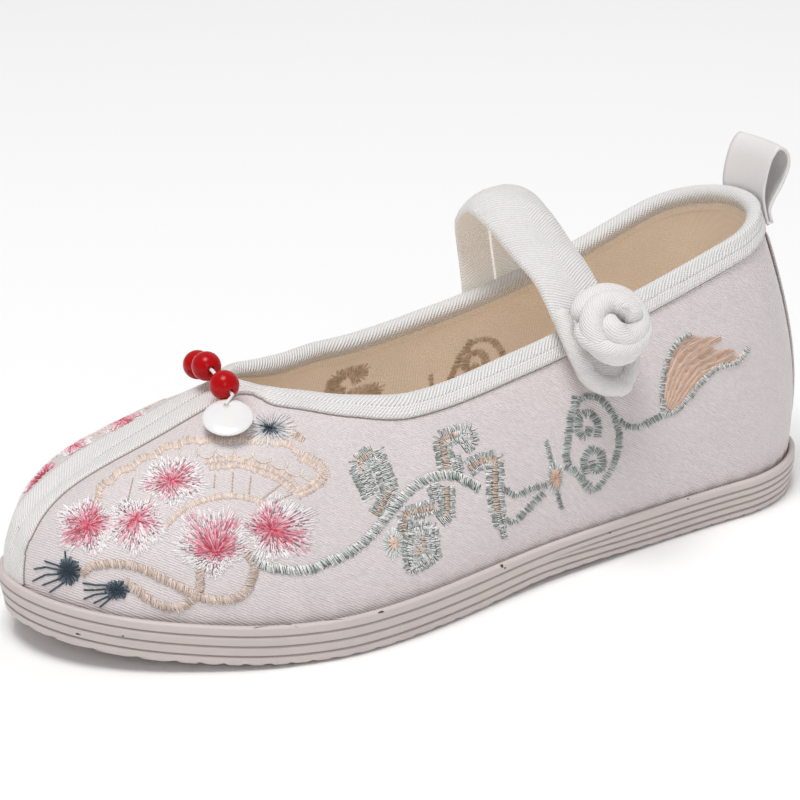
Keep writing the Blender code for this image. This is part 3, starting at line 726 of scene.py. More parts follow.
SOLE_STEPS = 300
SOLE_ROWS = 44
OUTLINE_END = 1e-6
OUTLINE_STEP = 1e-4
SOLE_GROOVES = table(
    "fore  heel",
    (2.45, 2.05),
    (4.85, 3.95),
    (7.25, 7.45))
HEEL_GROOVE_Z = 5.75
HEEL_GROOVE_END = 62.0
HEEL_GROOVE_START = 92.0
GROOVE_DEPTH = 0.75
GROOVE_WIDTH = 0.17
SOLE_FLARE = 0.9
SOLE_FOOT_ROUND = 1.0
SOLE_TOP_ROUND = 0.5
LIP_FOLD = table(
    "out               drop",
    (-LIP_THICK + 0.25, 0.05),
    (-LIP_THICK,        0.35),
    (-LIP_THICK,        LIP_DEPTH))
TREAD_PITCH = 5.0
TREAD_DEPTH = 0.8
TREAD_ZIGZAG = 16.0
TREAD_SWING = 6.0
TREAD_SIDES = ((0.0, 0.12), (0.26, 0.38))
NOTCH_HIGH = 1.1
NOTCH_SHARE = 0.6
# Share of painted shade in the tread's notches
NOTCH_PAINTED_SHADE = 0.6


def sole_floor(x):
    """Underside of the sole: flat at heel and forefoot, a low arch between, spring at the toe."""
    return spring(x) + ARCH_RISE * ease(*ARCH_BACK, x) * (1 - ease(*ARCH_FRONT, x))


def outline_point(u, side):
    """Point of the sole's outline in plan, u from 0 at the heel to 1 at the toe."""
    x = SOLE_LENGTH * (1 - math.cos(math.pi * u)) / 2
    half = smooth(PLAN["x"], PLAN[SIDE_NAMES[side]], x)
    half *= round_end(x, HEEL_ROUND) * round_end(SOLE_LENGTH - x, TOE_ROUND)
    return Vector((x, side * half, 0.0))


def outline_way(u, side):
    """Outward direction of the outline in plan."""
    if u < OUTLINE_END or u > 1 - OUTLINE_END:
        return Vector((math.copysign(1.0, u - 0.5), 0.0, 0.0))
    along = outline_point(u + OUTLINE_STEP, side) - outline_point(u - OUTLINE_STEP, side)
    return Vector((-side * along.y, side * along.x, 0.0)).normalized()


def tread(x, y):
    """Depth of the tread's zigzag grooves, 0 to 1."""
    zigzag = abs((y / TREAD_ZIGZAG) % 2 - 1) * TREAD_SWING
    phase = ((x + zigzag) / TREAD_PITCH) % 1
    return ease(*TREAD_SIDES[0], phase) * (1 - ease(*TREAD_SIDES[1], phase))


def sole_side(level, x):
    """How far the side stands out at a level from 0 to SOLE_THICK, and how deep in a groove that is."""
    heel = 1 - ease(HEEL_GROOVE_END, HEEL_GROOVE_START, x)
    out = -SOLE_FLARE + SOLE_FLARE * ease(0.0, SOLE_THICK * 0.8, level)
    out -= SOLE_FOOT_ROUND * (1 - ease(0.0, SOLE_FOOT_ROUND, level)) ** 2
    out -= SOLE_TOP_ROUND * ease(SOLE_THICK - SOLE_TOP_ROUND, SOLE_THICK, level) ** 2
    deep = 0.0
    for fore_z, heel_z in rows_of(SOLE_GROOVES):
        middle = fore_z + (heel_z - fore_z) * heel
        deep += math.exp(-((level - middle) / GROOVE_WIDTH) ** 2)
    deep += heel * math.exp(-((level - HEEL_GROOVE_Z) / GROOVE_WIDTH) ** 2)
    return out - GROOVE_DEPTH * deep, deep


def add_sole():
    """Ribbed cup sole with a treaded underside and a sunk floor inside its lip."""
    turn = [(k / SOLE_STEPS, LATERAL) for k in range(SOLE_STEPS + 1)]
    turn += [(k / SOLE_STEPS, MEDIAL) for k in range(SOLE_STEPS - 1, 0, -1)]
    spots = [(outline_point(u, side), outline_way(u, side)) for u, side in turn]
    levels = [SOLE_THICK * k / (SOLE_ROWS - 1) for k in range(SOLE_ROWS)]
    rings = []
    for level in levels:
        ring = []
        for spot, way in spots:
            out, deep = sole_side(level, spot.x)
            point = spot + way * out
            share = level / SOLE_THICK
            point.z = sole_floor(point.x) * (1 - share) + (spring(point.x) + SOLE_THICK) * share
            notch = tread(point.x, point.y) * (1 - ease(0.0, NOTCH_HIGH, level))
            point.z += NOTCH_SHARE * TREAD_DEPTH * notch
            # The groove mask carries painted shade into the side's grooves and the notches at its foot.
            ring.append((point, min(1.0, deep + NOTCH_PAINTED_SHADE * notch)))
        rings.append(ring)
    for out, drop in rows_of(LIP_FOLD):
        ring = []
        for spot, way in spots:
            point = spot + way * out
            point.z = spring(point.x) + SOLE_THICK - drop
            ring.append((point, 0.0))
        rings.append(ring)
    count = len(spots)
    points = [point for ring in rings for point, _ in ring]
    groove = [deep for ring in rings for _, deep in ring]
    faces = tube_faces(len(rings), count, caps=False)
    faces += floor_faces(points, groove, rings[0], True)
    faces += floor_faces(points, groove, rings[-1], False, (len(rings) - 1) * count)
    item = add_piece("rubber_sole", points, faces, "rubber", {"groove": groove})
    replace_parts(item, "outsole")
    add_scuffs(Skin(points, faces))


SCUFFS = table(
    "px   py   long  wide",
    (502, 566, 0.42, 0.50),
    (505, 568, 0.28, 0.22),
    (78,  634, 0.60, 0.22),
    (381, 612, 0.75, 0.22),
    (767, 462, 0.55, 0.25),
    (260, 627, 1.60, 0.09),
    (290, 625, 2.20, 0.09),
    (331, 620, 2.20, 0.12),
    (123, 636, 0.28, 0.20),
    (610, 533, 0.30, 0.18),
    (688, 499, 0.28, 0.18))
SCUFF_SIDES = 12
SCUFF_HIGH = 0.12
SCUFF_RIM = 0.03
SCUFF_RAGGED = 0.2


def add_scuffs(skin):
    """Small dark specks and streaks of dirt on the lip and the side of the sole."""
    points = []
    faces = []
    for px, py, long, wide in rows_of(SCUFFS):
        middle, normal = skin.seen(px, py)
        way = UP.cross(normal).normalized()
        rise = normal.cross(way)
        top = len(points)
        points += [middle + normal * SCUFF_HIGH, middle - normal * SCUFF_HIGH]
        for j in range(SCUFF_SIDES):
            turn = 2 * math.pi * j / SCUFF_SIDES
            ragged = 1 + SCUFF_RAGGED * math.sin(3 * turn + px)
            rim = (way * long * math.cos(turn) + rise * wide * math.sin(turn)) * ragged
            spot, lean = skin.nearest(middle + rim)
            points.append(spot + lean * SCUFF_RIM)
            a = top + 2 + j
            b = top + 2 + (j + 1) % SCUFF_SIDES
            faces += [(top, a, b), (top + 1, b, a)]
    add_piece("sole_scuffs", points, faces, "scuff")


def floor_faces(points, groove, ring, treaded, first=0, across=26):
    """Grid of faces across a ring of the outline; its inner points are added to the lists."""
    count = len(ring)
    half = count // 2
    rows = []
    for k in range(1, half):
        a, b = ring[k][0], ring[count - k][0]
        row = [first + k]
        for j in range(1, across):
            point = a.lerp(b, j / across)
            deep = 0.0
            if treaded:
                deep = tread(point.x, point.y)
                point.z = sole_floor(point.x) + TREAD_DEPTH * deep
            row.append(len(points))
            points.append(point)
            # Painted shade in the tread's grooves underneath.
            groove.append(NOTCH_PAINTED_SHADE * deep)
        row.append(first + count - k)
        rows.append(row)
    order = 1 if treaded else -1
    faces = [(first, a, b)[::order] for a, b in zip(rows[0], rows[0][1:])]
    for pair in zip(rows, rows[1:]):
        near, far = pair[::order]
        for j in range(across):
            faces.append((near[j], far[j], far[j + 1], near[j + 1]))
    faces += [(first + half, b, a)[::order] for a, b in zip(rows[-1], rows[-1][1:])]
    return faces


add_sole()
# The insole's canvas carries painted light.
dress("insole", "insole_cloth")


# Collar binding and seam tapes

EDGE_REACH = 4.0
EDGE_CALM = 4


def collar_spot(x, side):
    """Upper edge of the wall at x."""
    half = smooth(COLLAR["x"], COLLAR["half"], x)
    half *= round_end(x - COLLAR_BACK_X, COLLAR_ROUND) * round_end(THROAT_X - x, THROAT_ROUND)
    return Vector((x, side * half, smooth(COLLAR["x"], COLLAR["z"], x)))


def collar_half(side, steps=260):
    """Fine points of the collar's edge from the back to the throat."""
    places = [COLLAR_BACK_X + (THROAT_X - COLLAR_BACK_X) * (1 - math.cos(math.pi * k / steps)) / 2
              for k in range(steps + 1)]
    return [collar_spot(x, side) for x in places]


def edge_frames(points):
    """Points round the collar's edge, each with its outward direction and the direction down the wall."""
    count = len(points)
    ways = [way_at(points, k, closed=True) for k in range(count)]
    hints = [UP.cross(way).normalized() - UP for way in ways]
    normals = [SKIN.nearest(point + hint * EDGE_REACH)[1] for point, hint in zip(points, hints)]
    frames = []
    for k, point in enumerate(points):
        near = [normals[(k + j) % count] for j in range(-EDGE_CALM, EDGE_CALM + 1)]
        normal = sum(near, Vector())
        normal = (normal - ways[k] * normal.dot(ways[k])).normalized()
        down = normal.cross(ways[k])
        frames.append((point, normal, down if down.dot(hints[k]) > 0 else -down))
    return frames


# Sections round the collar's edge: out from the wall's outer face and down from the edge
BINDING_STEPS = 420
BINDING_FOLD = table(
    "out    depth",
    (0.15,  2.0),
    (0.70,  2.25),
    (1.10,  1.9),
    (1.30,  1.2),
    (1.25,  0.4),
    (0.90,  -0.4),
    (0.20,  -1.0),
    (-0.90, -1.2),
    (-2.00, -1.0),
    (-2.75, -0.3),
    (-3.00, 0.5),
    (-2.95, 1.4),
    (-2.80, 2.1),
    (-2.35, 2.4),
    (-2.05, 2.1),
    (-1.95, 0.5),
    (0.05,  0.5))
FACING_FOLD = table(
    "out    depth",
    (-1.70, 1.8),
    (-2.30, 2.0),
    (-2.40, 3.0),
    (-2.65, 3.6),
    (-2.70, 4.2),
    (-2.45, 4.8),
    (-2.10, 4.9),
    (-1.70, 4.6))
COLLAR_TAPE_FOLD = table(
    "out   depth",
    (0.05, 1.0),
    (0.70, 1.0),
    (1.00, 1.5),
    (1.04, 2.6),
    (1.04, 3.7),
    (0.90, 4.3),
    (0.50, 4.6),
    (0.05, 4.6))
COLLAR_TAPE_NARROW = 0.75
THROAT_TIGHT = 0.3
THROAT_BEND = (1.0, 18.0)
THROAT_NARROW = (0.5, 6.0)


def add_edge_ring(name, fold, finish, slot, narrow=1.0):
    """Tape round the collar's edge with one folded section, tight and narrower in the bend at the throat."""
    edge = collar_half(LATERAL) + collar_half(MEDIAL)[-2:0:-1]
    ring_points = spread(edge + edge[:1], BINDING_STEPS + 1)[:-1]
    step = run_lengths(ring_points)[1]
    tape = Strip()
    frames = edge_frames(ring_points)
    for k, (point, normal, down) in enumerate(frames + frames[:1]):
        tight = THROAT_TIGHT + (1 - THROAT_TIGHT) * ease(*THROAT_BEND, THROAT_X - point.x)
        down = down * (narrow + (1 - narrow) * ease(*THROAT_NARROW, THROAT_X - point.x))
        girth = 0.0
        before = None
        for out, depth in rows_of(fold):
            if out > -0.5 and depth > 0:
                spot, lean = SKIN.nearest(point + down * depth + normal)
                place = spot + lean * out
            else:
                inward = out if out > -WALL else -WALL + (out + WALL) * tight
                place = point + normal * inward + down * depth * (tight if depth > 1 else 1.0)
            if before is not None:
                girth += (place - before).length
            before = place
            tape.add(place, k * step, girth)
    size = len(fold["out"])
    if narrow < 1:
        # A fine dark cord of painted shadow along the tape's lower edge.
        add_painted_shadow(name + "_groove", tape.points[size - 1:-1:size], closed=True)
    return tape.build(name, size, finish, slot, caps=False)


TAPE_HALF = 2.9
TAPE_THICK = 0.85
TAPE_STEPS = 220
TAPE_CALM = 7
TAPE_ROWS = 9
TAPE_APART = 2.95
TAPE_OFF_Y = 0.1
# Radius of the dark cord of painted shadow along a tape's edge
PAINTED_SHADOW_RADIUS = 0.22
TAPE_RIDGE_X = (146.5, 149.0, 153.0, 160.0, 166.0, 173.0, 180.0)
TAPE_TOE_STEPS = 6
TAPE_TOE_OUT = 2.0
TAPE_IN_LIP = 0.6
TAPE_EDGE = 0.55
TAPE_UNDER = 0.2


def tape_line(side):
    """Middle line of one seam tape, from the throat down to the toe."""
    line = []
    for x in TAPE_RIDGE_X:
        high = Vector((x, side * TAPE_APART + TAPE_OFF_Y, smooth(RIDGE["x"], RIDGE["z"], x)))
        line.append(SKIN.nearest(high)[0])
    toe_high = RIDGE["z"][-1]
    toe_low = spring(SOLE_LENGTH) + SOLE_THICK - TAPE_IN_LIP
    for k in range(1, TAPE_TOE_STEPS + 1):
        z = toe_high + (toe_low - toe_high) * k / TAPE_TOE_STEPS
        ahead = Vector((SOLE_LENGTH + TAPE_TOE_OUT, side * TAPE_APART + TAPE_OFF_Y, z))
        line.append(SKIN.nearest(ahead)[0])
    return spline(line, TAPE_STEPS)


def add_painted_shadow(name, line, closed=False):
    """Painted shadow: a fine dark cord where a tape's edge meets the satin, in place of the shade in that
    seam.
    """
    line = [SKIN.nearest(point)[0] for point in line]
    add_cord(name, line, PAINTED_SHADOW_RADIUS, "seam_shadow", "toe_seam_tape", closed)


def add_tape(side):
    """Twill tape on the wall: its upper edge goes under the binding, its lower end into the lip."""
    line = tape_line(side)
    step = run_lengths(line)[1]
    tape = Strip()
    for k, point in enumerate(line):
        spot, normal = SKIN.nearest(point)
        wide = normal.cross(way_at(line, k)).normalized()
        upper = []
        lower = []
        for j in range(TAPE_ROWS):
            part = 2 * j / (TAPE_ROWS - 1) - 1
            place, lean = SKIN.nearest(spot + wide * part * TAPE_HALF)
            thick = TAPE_THICK * (1 - TAPE_EDGE * abs(part) ** 5)
            upper.append((place + lean * thick, part))
            lower.append((place - lean * TAPE_UNDER, part))
        for place, part in upper + lower[::-1]:
            tape.add(place, k * step, part * TAPE_HALF)
    size = 2 * TAPE_ROWS
    calm = []
    for k in range(TAPE_STEPS):
        reach = min(TAPE_CALM, k, TAPE_STEPS - 1 - k)
        for j in range(size):
            near = [tape.points[m * size + j] for m in range(k - reach, k + reach + 1)]
            calm.append(sum(near, Vector()) / len(near))
    tape.points = calm
    rim = 0 if side == MEDIAL else TAPE_ROWS - 1
    # A fine dark cord of painted shadow along one edge of the tape.
    add_painted_shadow("tape_groove_" + SIDE_NAMES[side], tape.points[rim::size])
    return tape.build("seam_tape_" + SIDE_NAMES[side], size, "fine_twill", "toe_seam_tape")


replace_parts(add_edge_ring("collar_binding_tape", BINDING_FOLD, "twill", "collar_binding"), "collar_binding")
add_edge_ring("collar_tape", COLLAR_TAPE_FOLD, "fine_twill", "toe_seam_tape", COLLAR_TAPE_NARROW)
# The facing's canvas carries painted light.
add_edge_ring("collar_facing", FACING_FOLD, "facing", "upper")
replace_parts(add_tape(LATERAL), "toe_seam_tape")
add_tape(MEDIAL)


# Strap, knot and loops

STRAP = table(
    "x     y      z      width slant bow",
    (64.5, -26.0, 44.5, 16.0, -2, 0.0),
    (66.8, -22.8, 52.0, 16.0, -2, 0.0),
    (68.2, -22.8, 62.0, 17.0, 0,  1.2),
    (70.0, -20.2, 71.0, 18.0, 0,  2.6),
    (70.5, -12.6, 76.2, 18.0, 0,  3.0),
    (70.3, -4.0,  73.8, 17.0, 0,  2.6),
    (69.8, 5.0,   68.4, 16.0, 2,  1.8),
    (69.4, 14.0,  62.6, 15.0, 4,  0.8),
    (68.6, 22.9,  51.8, 15.5, 6,  0.0),
    (66.2, 25.7,  46.6, 18.0, 8,  0.0),
    (64.0, 28.1,  40.7, 17.0, 8,  0.0))
KNOT_MIDDLE = node_middle("button_knot")
KNOT_OUT = Vector((0.0, 0.825, 0.566)).normalized()
KNOT_DOWN = Vector((-0.197, 0.554, -0.809)).normalized()
KNOT_WIDE = KNOT_DOWN.cross(KNOT_OUT)
STRAP_STEPS = 190
STRAP_AROUND = 40
STRAP_THICK = 3.4
STRAP_END_ROUND = 8.0
STRAP_END_LEAST = 0.3
STRAP_SQUARE = (0.7, 0.75)
STRAP_CREASE = 0.15
STRAP_CREASE_WIDE = 0.08
STRAP_WRINKLE = 0.3
STRAP_WRINKLE_TURNS = (0.45, 2.4)
LOBE_LENGTH = 21.0
LOBE_EASE = 4.0
LOBE_CORD = 2.1
LOBE_INSET = 0.9
LOBE_OUT = 0.5
LOBE_SUNK = 0.9
LOBE_STEPS = 160
LOBE_BEHIND = 30
SEAM_CORD = 0.3
SEAM_SUNK = 0.05
SEAM_STEPS = 60


def strap_frames():
    """Sections of the strap: middle, directions across and out, width, bow, distance and distance left."""
    rows = [Vector(row) for row in zip(STRAP["x"], STRAP["y"], STRAP["z"])]
    path = spline(rows, STRAP_STEPS)
    run = run_lengths(rows)
    whole = run_lengths(path)[-1]
    sections = []
    for k, point in enumerate(path):
        place = run[-1] * k / (STRAP_STEPS - 1)
        slant = math.radians(smooth(run, STRAP["slant"], place))
        left = whole * (1 - k / (STRAP_STEPS - 1))
        width = smooth(run, STRAP["width"], place) * max(STRAP_END_LEAST, round_end(left, STRAP_END_ROUND))
        way = way_at(path, k)
        wide = Vector((math.cos(slant), math.sin(slant), 0.0))
        wide = (wide - way * wide.dot(way)).normalized()
        bow = smooth(run, STRAP["bow"], place)
        sections.append((point, wide, wide.cross(way), width, bow, whole - left, left))
    return sections


def add_strap():
    """Folded twill strap with soft edges and a seam under its middle; its end is a loop round the knot."""
    strap = Strip()
    rims = {LATERAL: [], MEDIAL: []}
    seam = []
    for point, wide, face, width, bow, run, left in strap_frames():
        lobe = ease(0.0, LOBE_EASE, LOBE_LENGTH - left)
        for j in range(STRAP_AROUND):
            turn = 2 * math.pi * j / STRAP_AROUND
            c, s = math.cos(turn), math.sin(turn)
            part = math.copysign(abs(c) ** STRAP_SQUARE[0], c)
            t = math.copysign(abs(s) ** STRAP_SQUARE[1], s) * STRAP_THICK / 2
            if s > 0:
                crease = STRAP_CREASE * math.exp(-(part / STRAP_CREASE_WIDE) ** 2)
                t -= crease * (1 - lobe) + LOBE_SUNK * lobe * (1 - part ** 4)
                wrinkle = math.sin(STRAP_WRINKLE_TURNS[0] * run + STRAP_WRINKLE_TURNS[1] * part)
                t += STRAP_WRINKLE * wrinkle * (1 - part ** 2)
            place = point + wide * part * width / 2 + face * (t - bow * part ** 2)
            strap.add(place, run, abs(part * width / 2))
        if left < LOBE_LENGTH:
            inset = max(width / 2 - LOBE_CORD * LOBE_INSET, 0.0)
            for sign, rim in rims.items():
                rim.append(point + wide * sign * inset + face * LOBE_OUT)
        elif point.y < 0:
            seam.append(point - face * (STRAP_THICK / 2 - SEAM_SUNK))
    item = strap.build("twill_strap", STRAP_AROUND, ("strap_twill", "strap_under"), "instep_strap")
    # The faces of the underside take the copy of the twill with painted light.
    for face in item.data.polygons:
        face.material_index = int(face.index % STRAP_AROUND >= STRAP_AROUND // 2)
    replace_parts(item, "instep_strap")
    loop = spread(rims[LATERAL] + rims[MEDIAL][::-1], LOBE_STEPS)
    behind = KNOT_MIDDLE - KNOT_OUT * LOBE_BEHIND
    add_cord("strap_loop", loop, LOBE_CORD, "knot_twill", "instep_strap", hidden=behind)
    # The seam cord's twill carries painted light.
    add_cord("strap_seam", spread(seam, SEAM_STEPS), SEAM_CORD, "strap_seam", "instep_strap")


KNOT_REACH = 6.6
KNOT_FLAT = 0.8
KNOT_CORD = 2.9
KNOT_TURNS = 1.0
KNOT_STARTS = (2.6, 2.6 + math.pi)
KNOT_TILTS = (0.14, 1.75)
KNOT_STEPS = 160
KNOT_BAND = table(
    "turn  tilt  reach",
    (-0.5, 1.75, 6.2),
    (0.1,  1.35, 7.2),
    (0.8,  1.05, 7.9),
    (1.6,  0.95, 8.1),
    (2.4,  1.10, 7.8),
    (3.1,  1.45, 7.0),
    (3.6,  1.80, 6.2))
KNOT_BUD = table(
    "turn tilt  reach",
    (2.5, 0.66, 6.4),
    (3.3, 0.52, 6.7),
    (4.2, 0.52, 6.7),
    (5.0, 0.66, 6.4))
KNOT_BAND_THIN = 0.8
KNOT_BAND_STEPS = 120
KNOT_BUD_STEPS = 60
KNOT_CORE = 4.8
KNOT_CORE_RINGS = 14
KNOT_CORE_SIDES = 24
KNOT_CORE_STEP = 0.5


def knot_spot(turn, tilt, reach):
    """Point on the flattened ball of the knot: turn about its axis, tilt from its top."""
    flat = (KNOT_WIDE * math.cos(turn) + KNOT_DOWN * math.sin(turn)) * math.sin(tilt)
    return KNOT_MIDDLE + (flat + KNOT_OUT * KNOT_FLAT * math.cos(tilt)) * reach


def knot_cord(name, line, radius):
    """One cord of the knot, its ribs meeting inside it."""
    return add_cord(name, line, radius, "knot_twill", "button_knot", hidden=KNOT_MIDDLE)


def add_knot():
    """Button knot: two arms of cord wound to a ball from the top outward, with one band laid over them."""
    low, high = KNOT_TILTS
    arms = []
    for arm, start in zip(("first", "second"), KNOT_STARTS):
        line = []
        for k in range(KNOT_STEPS):
            part = k / (KNOT_STEPS - 1)
            turn = start + 2 * math.pi * KNOT_TURNS * part
            line.append(knot_spot(turn, low + (high - low) * part, KNOT_REACH))
        arms.append(knot_cord("twill_knot_" + arm, line, KNOT_CORD))
    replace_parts(arms[0], "button_knot")
    bud = spline([knot_spot(*row) for row in rows_of(KNOT_BUD)], KNOT_BUD_STEPS)
    knot_cord("knot_bud", bud, KNOT_CORD)
    band = spline([knot_spot(*row) for row in rows_of(KNOT_BAND)], KNOT_BAND_STEPS)
    knot_cord("knot_band", band, KNOT_BAND_THIN * KNOT_CORD)
    core = Strip()
    for i in range(1, KNOT_CORE_RINGS):
        run = KNOT_CORE_STEP * (i - 1)
        for j in range(KNOT_CORE_SIDES):
            turn = 2 * math.pi * j / KNOT_CORE_SIDES
            core.add(knot_spot(turn, math.pi * i / KNOT_CORE_RINGS, KNOT_CORE), run, run)
    core.build("knot_core", KNOT_CORE_SIDES, "knot_twill", "button_knot")


add_strap()
add_knot()


# Heel strip and pull loop

LOOP_PATH = table(
    "x    z",
    (10.0, 70.6),
    (9.9,  75.0),
    (9.0,  79.3),
    (7.0,  81.8),
    (4.7,  80.8),
    (3.7,  77.5),
    (4.9,  73.4),
    (7.2,  69.6))
LOOP_WIDTH = 16.0
LOOP_THICK = 0.7
LOOP_STEPS = 110
LOOP_ACROSS = 21
LOOP_LEGS = table(
    "out  depth",
    (2.0, 7.0),
    (2.0, 4.0),
    (3.1, 4.0),
    (3.1, 7.0))
LOOP_FLAT = 0.5


def add_heel():
    """Satin strip over the back seam and the ribbon loop above it."""
    # The strip's satin is the darker copy with painted shade.
    strip = finish_piece("heel_satin_strip", fine_mesh("heel_strip"), "heel_satin")
    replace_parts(strip, "heel_strip")
    back = collar_spot(COLLAR_BACK_X, LATERAL)
    legs = []
    for out, depth in rows_of(LOOP_LEGS):
        spot, normal = SKIN.nearest(back - UP * depth)
        legs.append(spot + normal * out)
    arch = [Vector((x, 0.0, z)) for x, z in rows_of(LOOP_PATH)]
    path = spline(legs[:2] + arch + legs[2:], LOOP_STEPS)
    points = []
    for k, point in enumerate(path):
        way = way_at(path, k)
        face = Vector((-way.z, 0.0, way.x))
        bend = 1 - LOOP_FLAT * ease(back.z, LOOP_PATH["z"][3], point.z)
        front = []
        rear = []
        for j in range(LOOP_ACROSS):
            part = 2 * j / (LOOP_ACROSS - 1) - 1
            y = part * LOOP_WIDTH / 2
            sag = bend * COLLAR_ROUND * (1 - math.sqrt(1 - (y / COLLAR["half"][0]) ** 2))
            middle = point + Vector((sag, y, 0.0))
            front.append(middle + face * LOOP_THICK / 2)
            rear.append(middle - face * LOOP_THICK / 2)
        points += front + rear[::-1]
    loop = add_piece("ribbon_loop", points, tube_faces(LOOP_STEPS, 2 * LOOP_ACROSS), "ribbon")
    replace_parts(loop, "pull_loop")


add_heel()


# Beads, shell disc and thread

def turned_piece(name, middle, axis, profile, finish, node, hole_off=Vector(), sides=56):
    """Solid turned about an axis; profile is radius and height in a closed loop from the hole out.

    The hole lies hole_off from the middle, and the rings between it and the rim shift.
    """
    side = axis.orthogonal().normalized()
    other = axis.cross(side)
    widest = max(radius for radius, _ in profile)
    points = []
    for k in range(sides):
        turn = 2 * math.pi * k / sides
        spoke = side * math.cos(turn) + other * math.sin(turn)
        for radius, height in profile:
            points.append(middle + spoke * radius + axis * height + hole_off * (1 - radius / widest))
    item = add_piece(name, points, tube_faces(sides, len(profile), closed=True), finish)
    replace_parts(item, node)


BEAD_RADIUS = 3.2
BEAD_HOLE = 0.6
DISC_RADIUS = 5.4
DISC_THICK = 1.8
DISC_LEAN = Vector((0.171, 0.345, 0.923)).normalized()
DISC_HOLE = 0.5
DISC_HOLE_OFF = 3.3
DISC_DOME = 1.25
DISC_BEVEL = ((0.96, 0.5), (0.85, 1.0))
BEAD_STEPS = 26
DISC_STEPS = 12


def add_beads():
    """Polished beads with drilled holes, the shell disc below them and the thread between."""
    start = math.asin(BEAD_HOLE / BEAD_RADIUS)
    profile = []
    for k in range(BEAD_STEPS + 1):
        tilt = start + (math.pi - 2 * start) * k / BEAD_STEPS
        profile.append((BEAD_RADIUS * math.sin(tilt), BEAD_RADIUS * math.cos(tilt)))
    middles = {name: node_middle("bead_" + name) for name in ("lateral", "centre", "medial")}
    across = (middles["lateral"] - middles["medial"]).normalized()
    for name, middle in middles.items():
        way = across
        if name != "centre":
            way = (middles["centre"] - middle).normalized()
        turned_piece("red_bead_" + name, middle, way, profile, "bead_red", "bead_" + name)
    half = DISC_THICK / 2
    face = []
    for k in range(DISC_STEPS + 1):
        turn = k / DISC_STEPS * math.pi / 2
        radius = DISC_HOLE + (DISC_RADIUS - DISC_HOLE) * math.sin(turn)
        face.append((radius, half * DISC_DOME * math.cos(turn)))
    back = [(DISC_RADIUS * share, -half * drop) for share, drop in DISC_BEVEL] + [(DISC_HOLE, -half)]
    middle = node_middle("shell_disc")
    towards = middles["lateral"] - middle
    hole_off = (towards - DISC_LEAN * towards.dot(DISC_LEAN)).normalized() * DISC_HOLE_OFF
    turned_piece("shell_disc_polished", middle, DISC_LEAN, face + back, "mother_of_pearl",
                 "shell_disc", hole_off)
    dress("bead_thread", "ribbon")


add_beads()


# Embroidery, laid out in the photograph's pixels on the outer side and mirrored to the inner side

# Tints of the threads, as 0 to 255 screen values
SCREEN_WHITE = 255
SCREEN_GAMMA = 2.2
SCREEN_TINTS = {
    "white": (252, 248, 248),
    "smoke": (168, 150, 158),
    "plum": (150, 78, 98),
    "blush": (246, 208, 216),
    "pink": (240, 158, 176),
    "rose": (226, 102, 124),
    "red": (206, 54, 76),
    "cream": (251, 242, 233),
    "peach": (249, 228, 215),
    "tan": (230, 208, 194),
    "bark": (182, 156, 142),
    "navy": (58, 84, 102),
    "ink": (26, 36, 48),
    "slate": (150, 156, 162),
    "sage": (210, 218, 213),
    "pale_sage": (240, 245, 242),
    "deep_sage": (158, 174, 167),
    "dusk": (92, 105, 101),
    "salmon": (234, 206, 188),
    "pale_salmon": (248, 222, 208),
    "amber": (214, 172, 146),
    "umber": (208, 184, 160),
    "hemp": (228, 208, 186),
    "straw": (242, 222, 200)}
DYES = {name: tuple((value / SCREEN_WHITE) ** SCREEN_GAMMA for value in tint)
        for name, tint in SCREEN_TINTS.items()}
BACK_WIDE = 0.6
BACK_TINTS = ("umber", "hemp", "hemp", "straw", "straw")
CREAM_MIX = (
    ("tan", "cream", "peach"), ("tan", "white", "tan"), ("bark", "cream", "tan"), ("peach", "white", "tan"))
PEACH_MIX = (
    ("bark", "cream", "peach", "bark"), ("tan", "peach", "white", "tan"), ("tan", "cream", "peach", "bark"))
SAGE_MIX = (("white", "deep_sage"), ("pale_sage", "dusk"), ("white", "white"), ("white", "sage"))
PALE_MIX = (
    ("white", "white"), ("white", "pale_sage"), ("white", "pale_salmon"), ("dusk", "white"),
    ("white", "sage"))
SALMON_MIX = (("salmon", "pale_salmon"), ("amber", "salmon"), ("salmon", "peach"), ("bark", "salmon"))
CLOUD_MIX = (("dusk", "white", "dusk"), ("deep_sage", "white", "deep_sage"), ("dusk", "pale_sage", "sage"),
             ("white", "dusk", "white"))
# The outer and inner lanes of a fret run from dusk at the band's edge inward: partly the sage edge threads,
# partly painted shade along the edges.
OUTER_MIX = (("dusk", "white"), ("deep_sage", "white"), ("dusk", "pale_sage"), ("white", "white"))
INNER_MIX = tuple(tints[::-1] for tints in OUTER_MIX)
GREY_FRET = (OUTER_MIX, PALE_MIX, INNER_MIX)
WARM_FRET = (OUTER_MIX, SALMON_MIX, INNER_MIX)
THREAD_WIDE = 0.33
THREAD_TAPER = 0.14
THREAD_HIGH = 0.28
THREAD_EDGE = 0.05
THREAD_UNDER = 0.08
THREAD_LIGHT = (0.88, 0.18)
STITCH_PITCH = 1.5
STITCH_LEAST = 0.8
STITCH_SPAN = 14
STITCH_OVER = 0.12
LANE_HALF = 0.56
# Half width of the dark threads of painted shade under the gaps between stitches
PAINTED_GAP_SHADE_HALF = 0.45
TAPE_COVER = TAPE_APART + TAPE_HALF + 0.5
FRAY = 0.8
FRAY_ALONG = 0.3
FRAY_LEAN = 0.7
# How far the threads of painted shade sink below the stitches
PAINTED_GAP_SHADE_SUNK = 0.1
BURST_STRAY = {"turn": 0.5, "start": 0.1, "end": 0.13}
BLOOM_STRAY = {"turn": 0.45, "start": 0.08, "end": 0.10, "rim": 1.0, "heat": 0.26}
BLOOM_LOBES = 5
BLOOM_LOBE_DEEP = 0.10


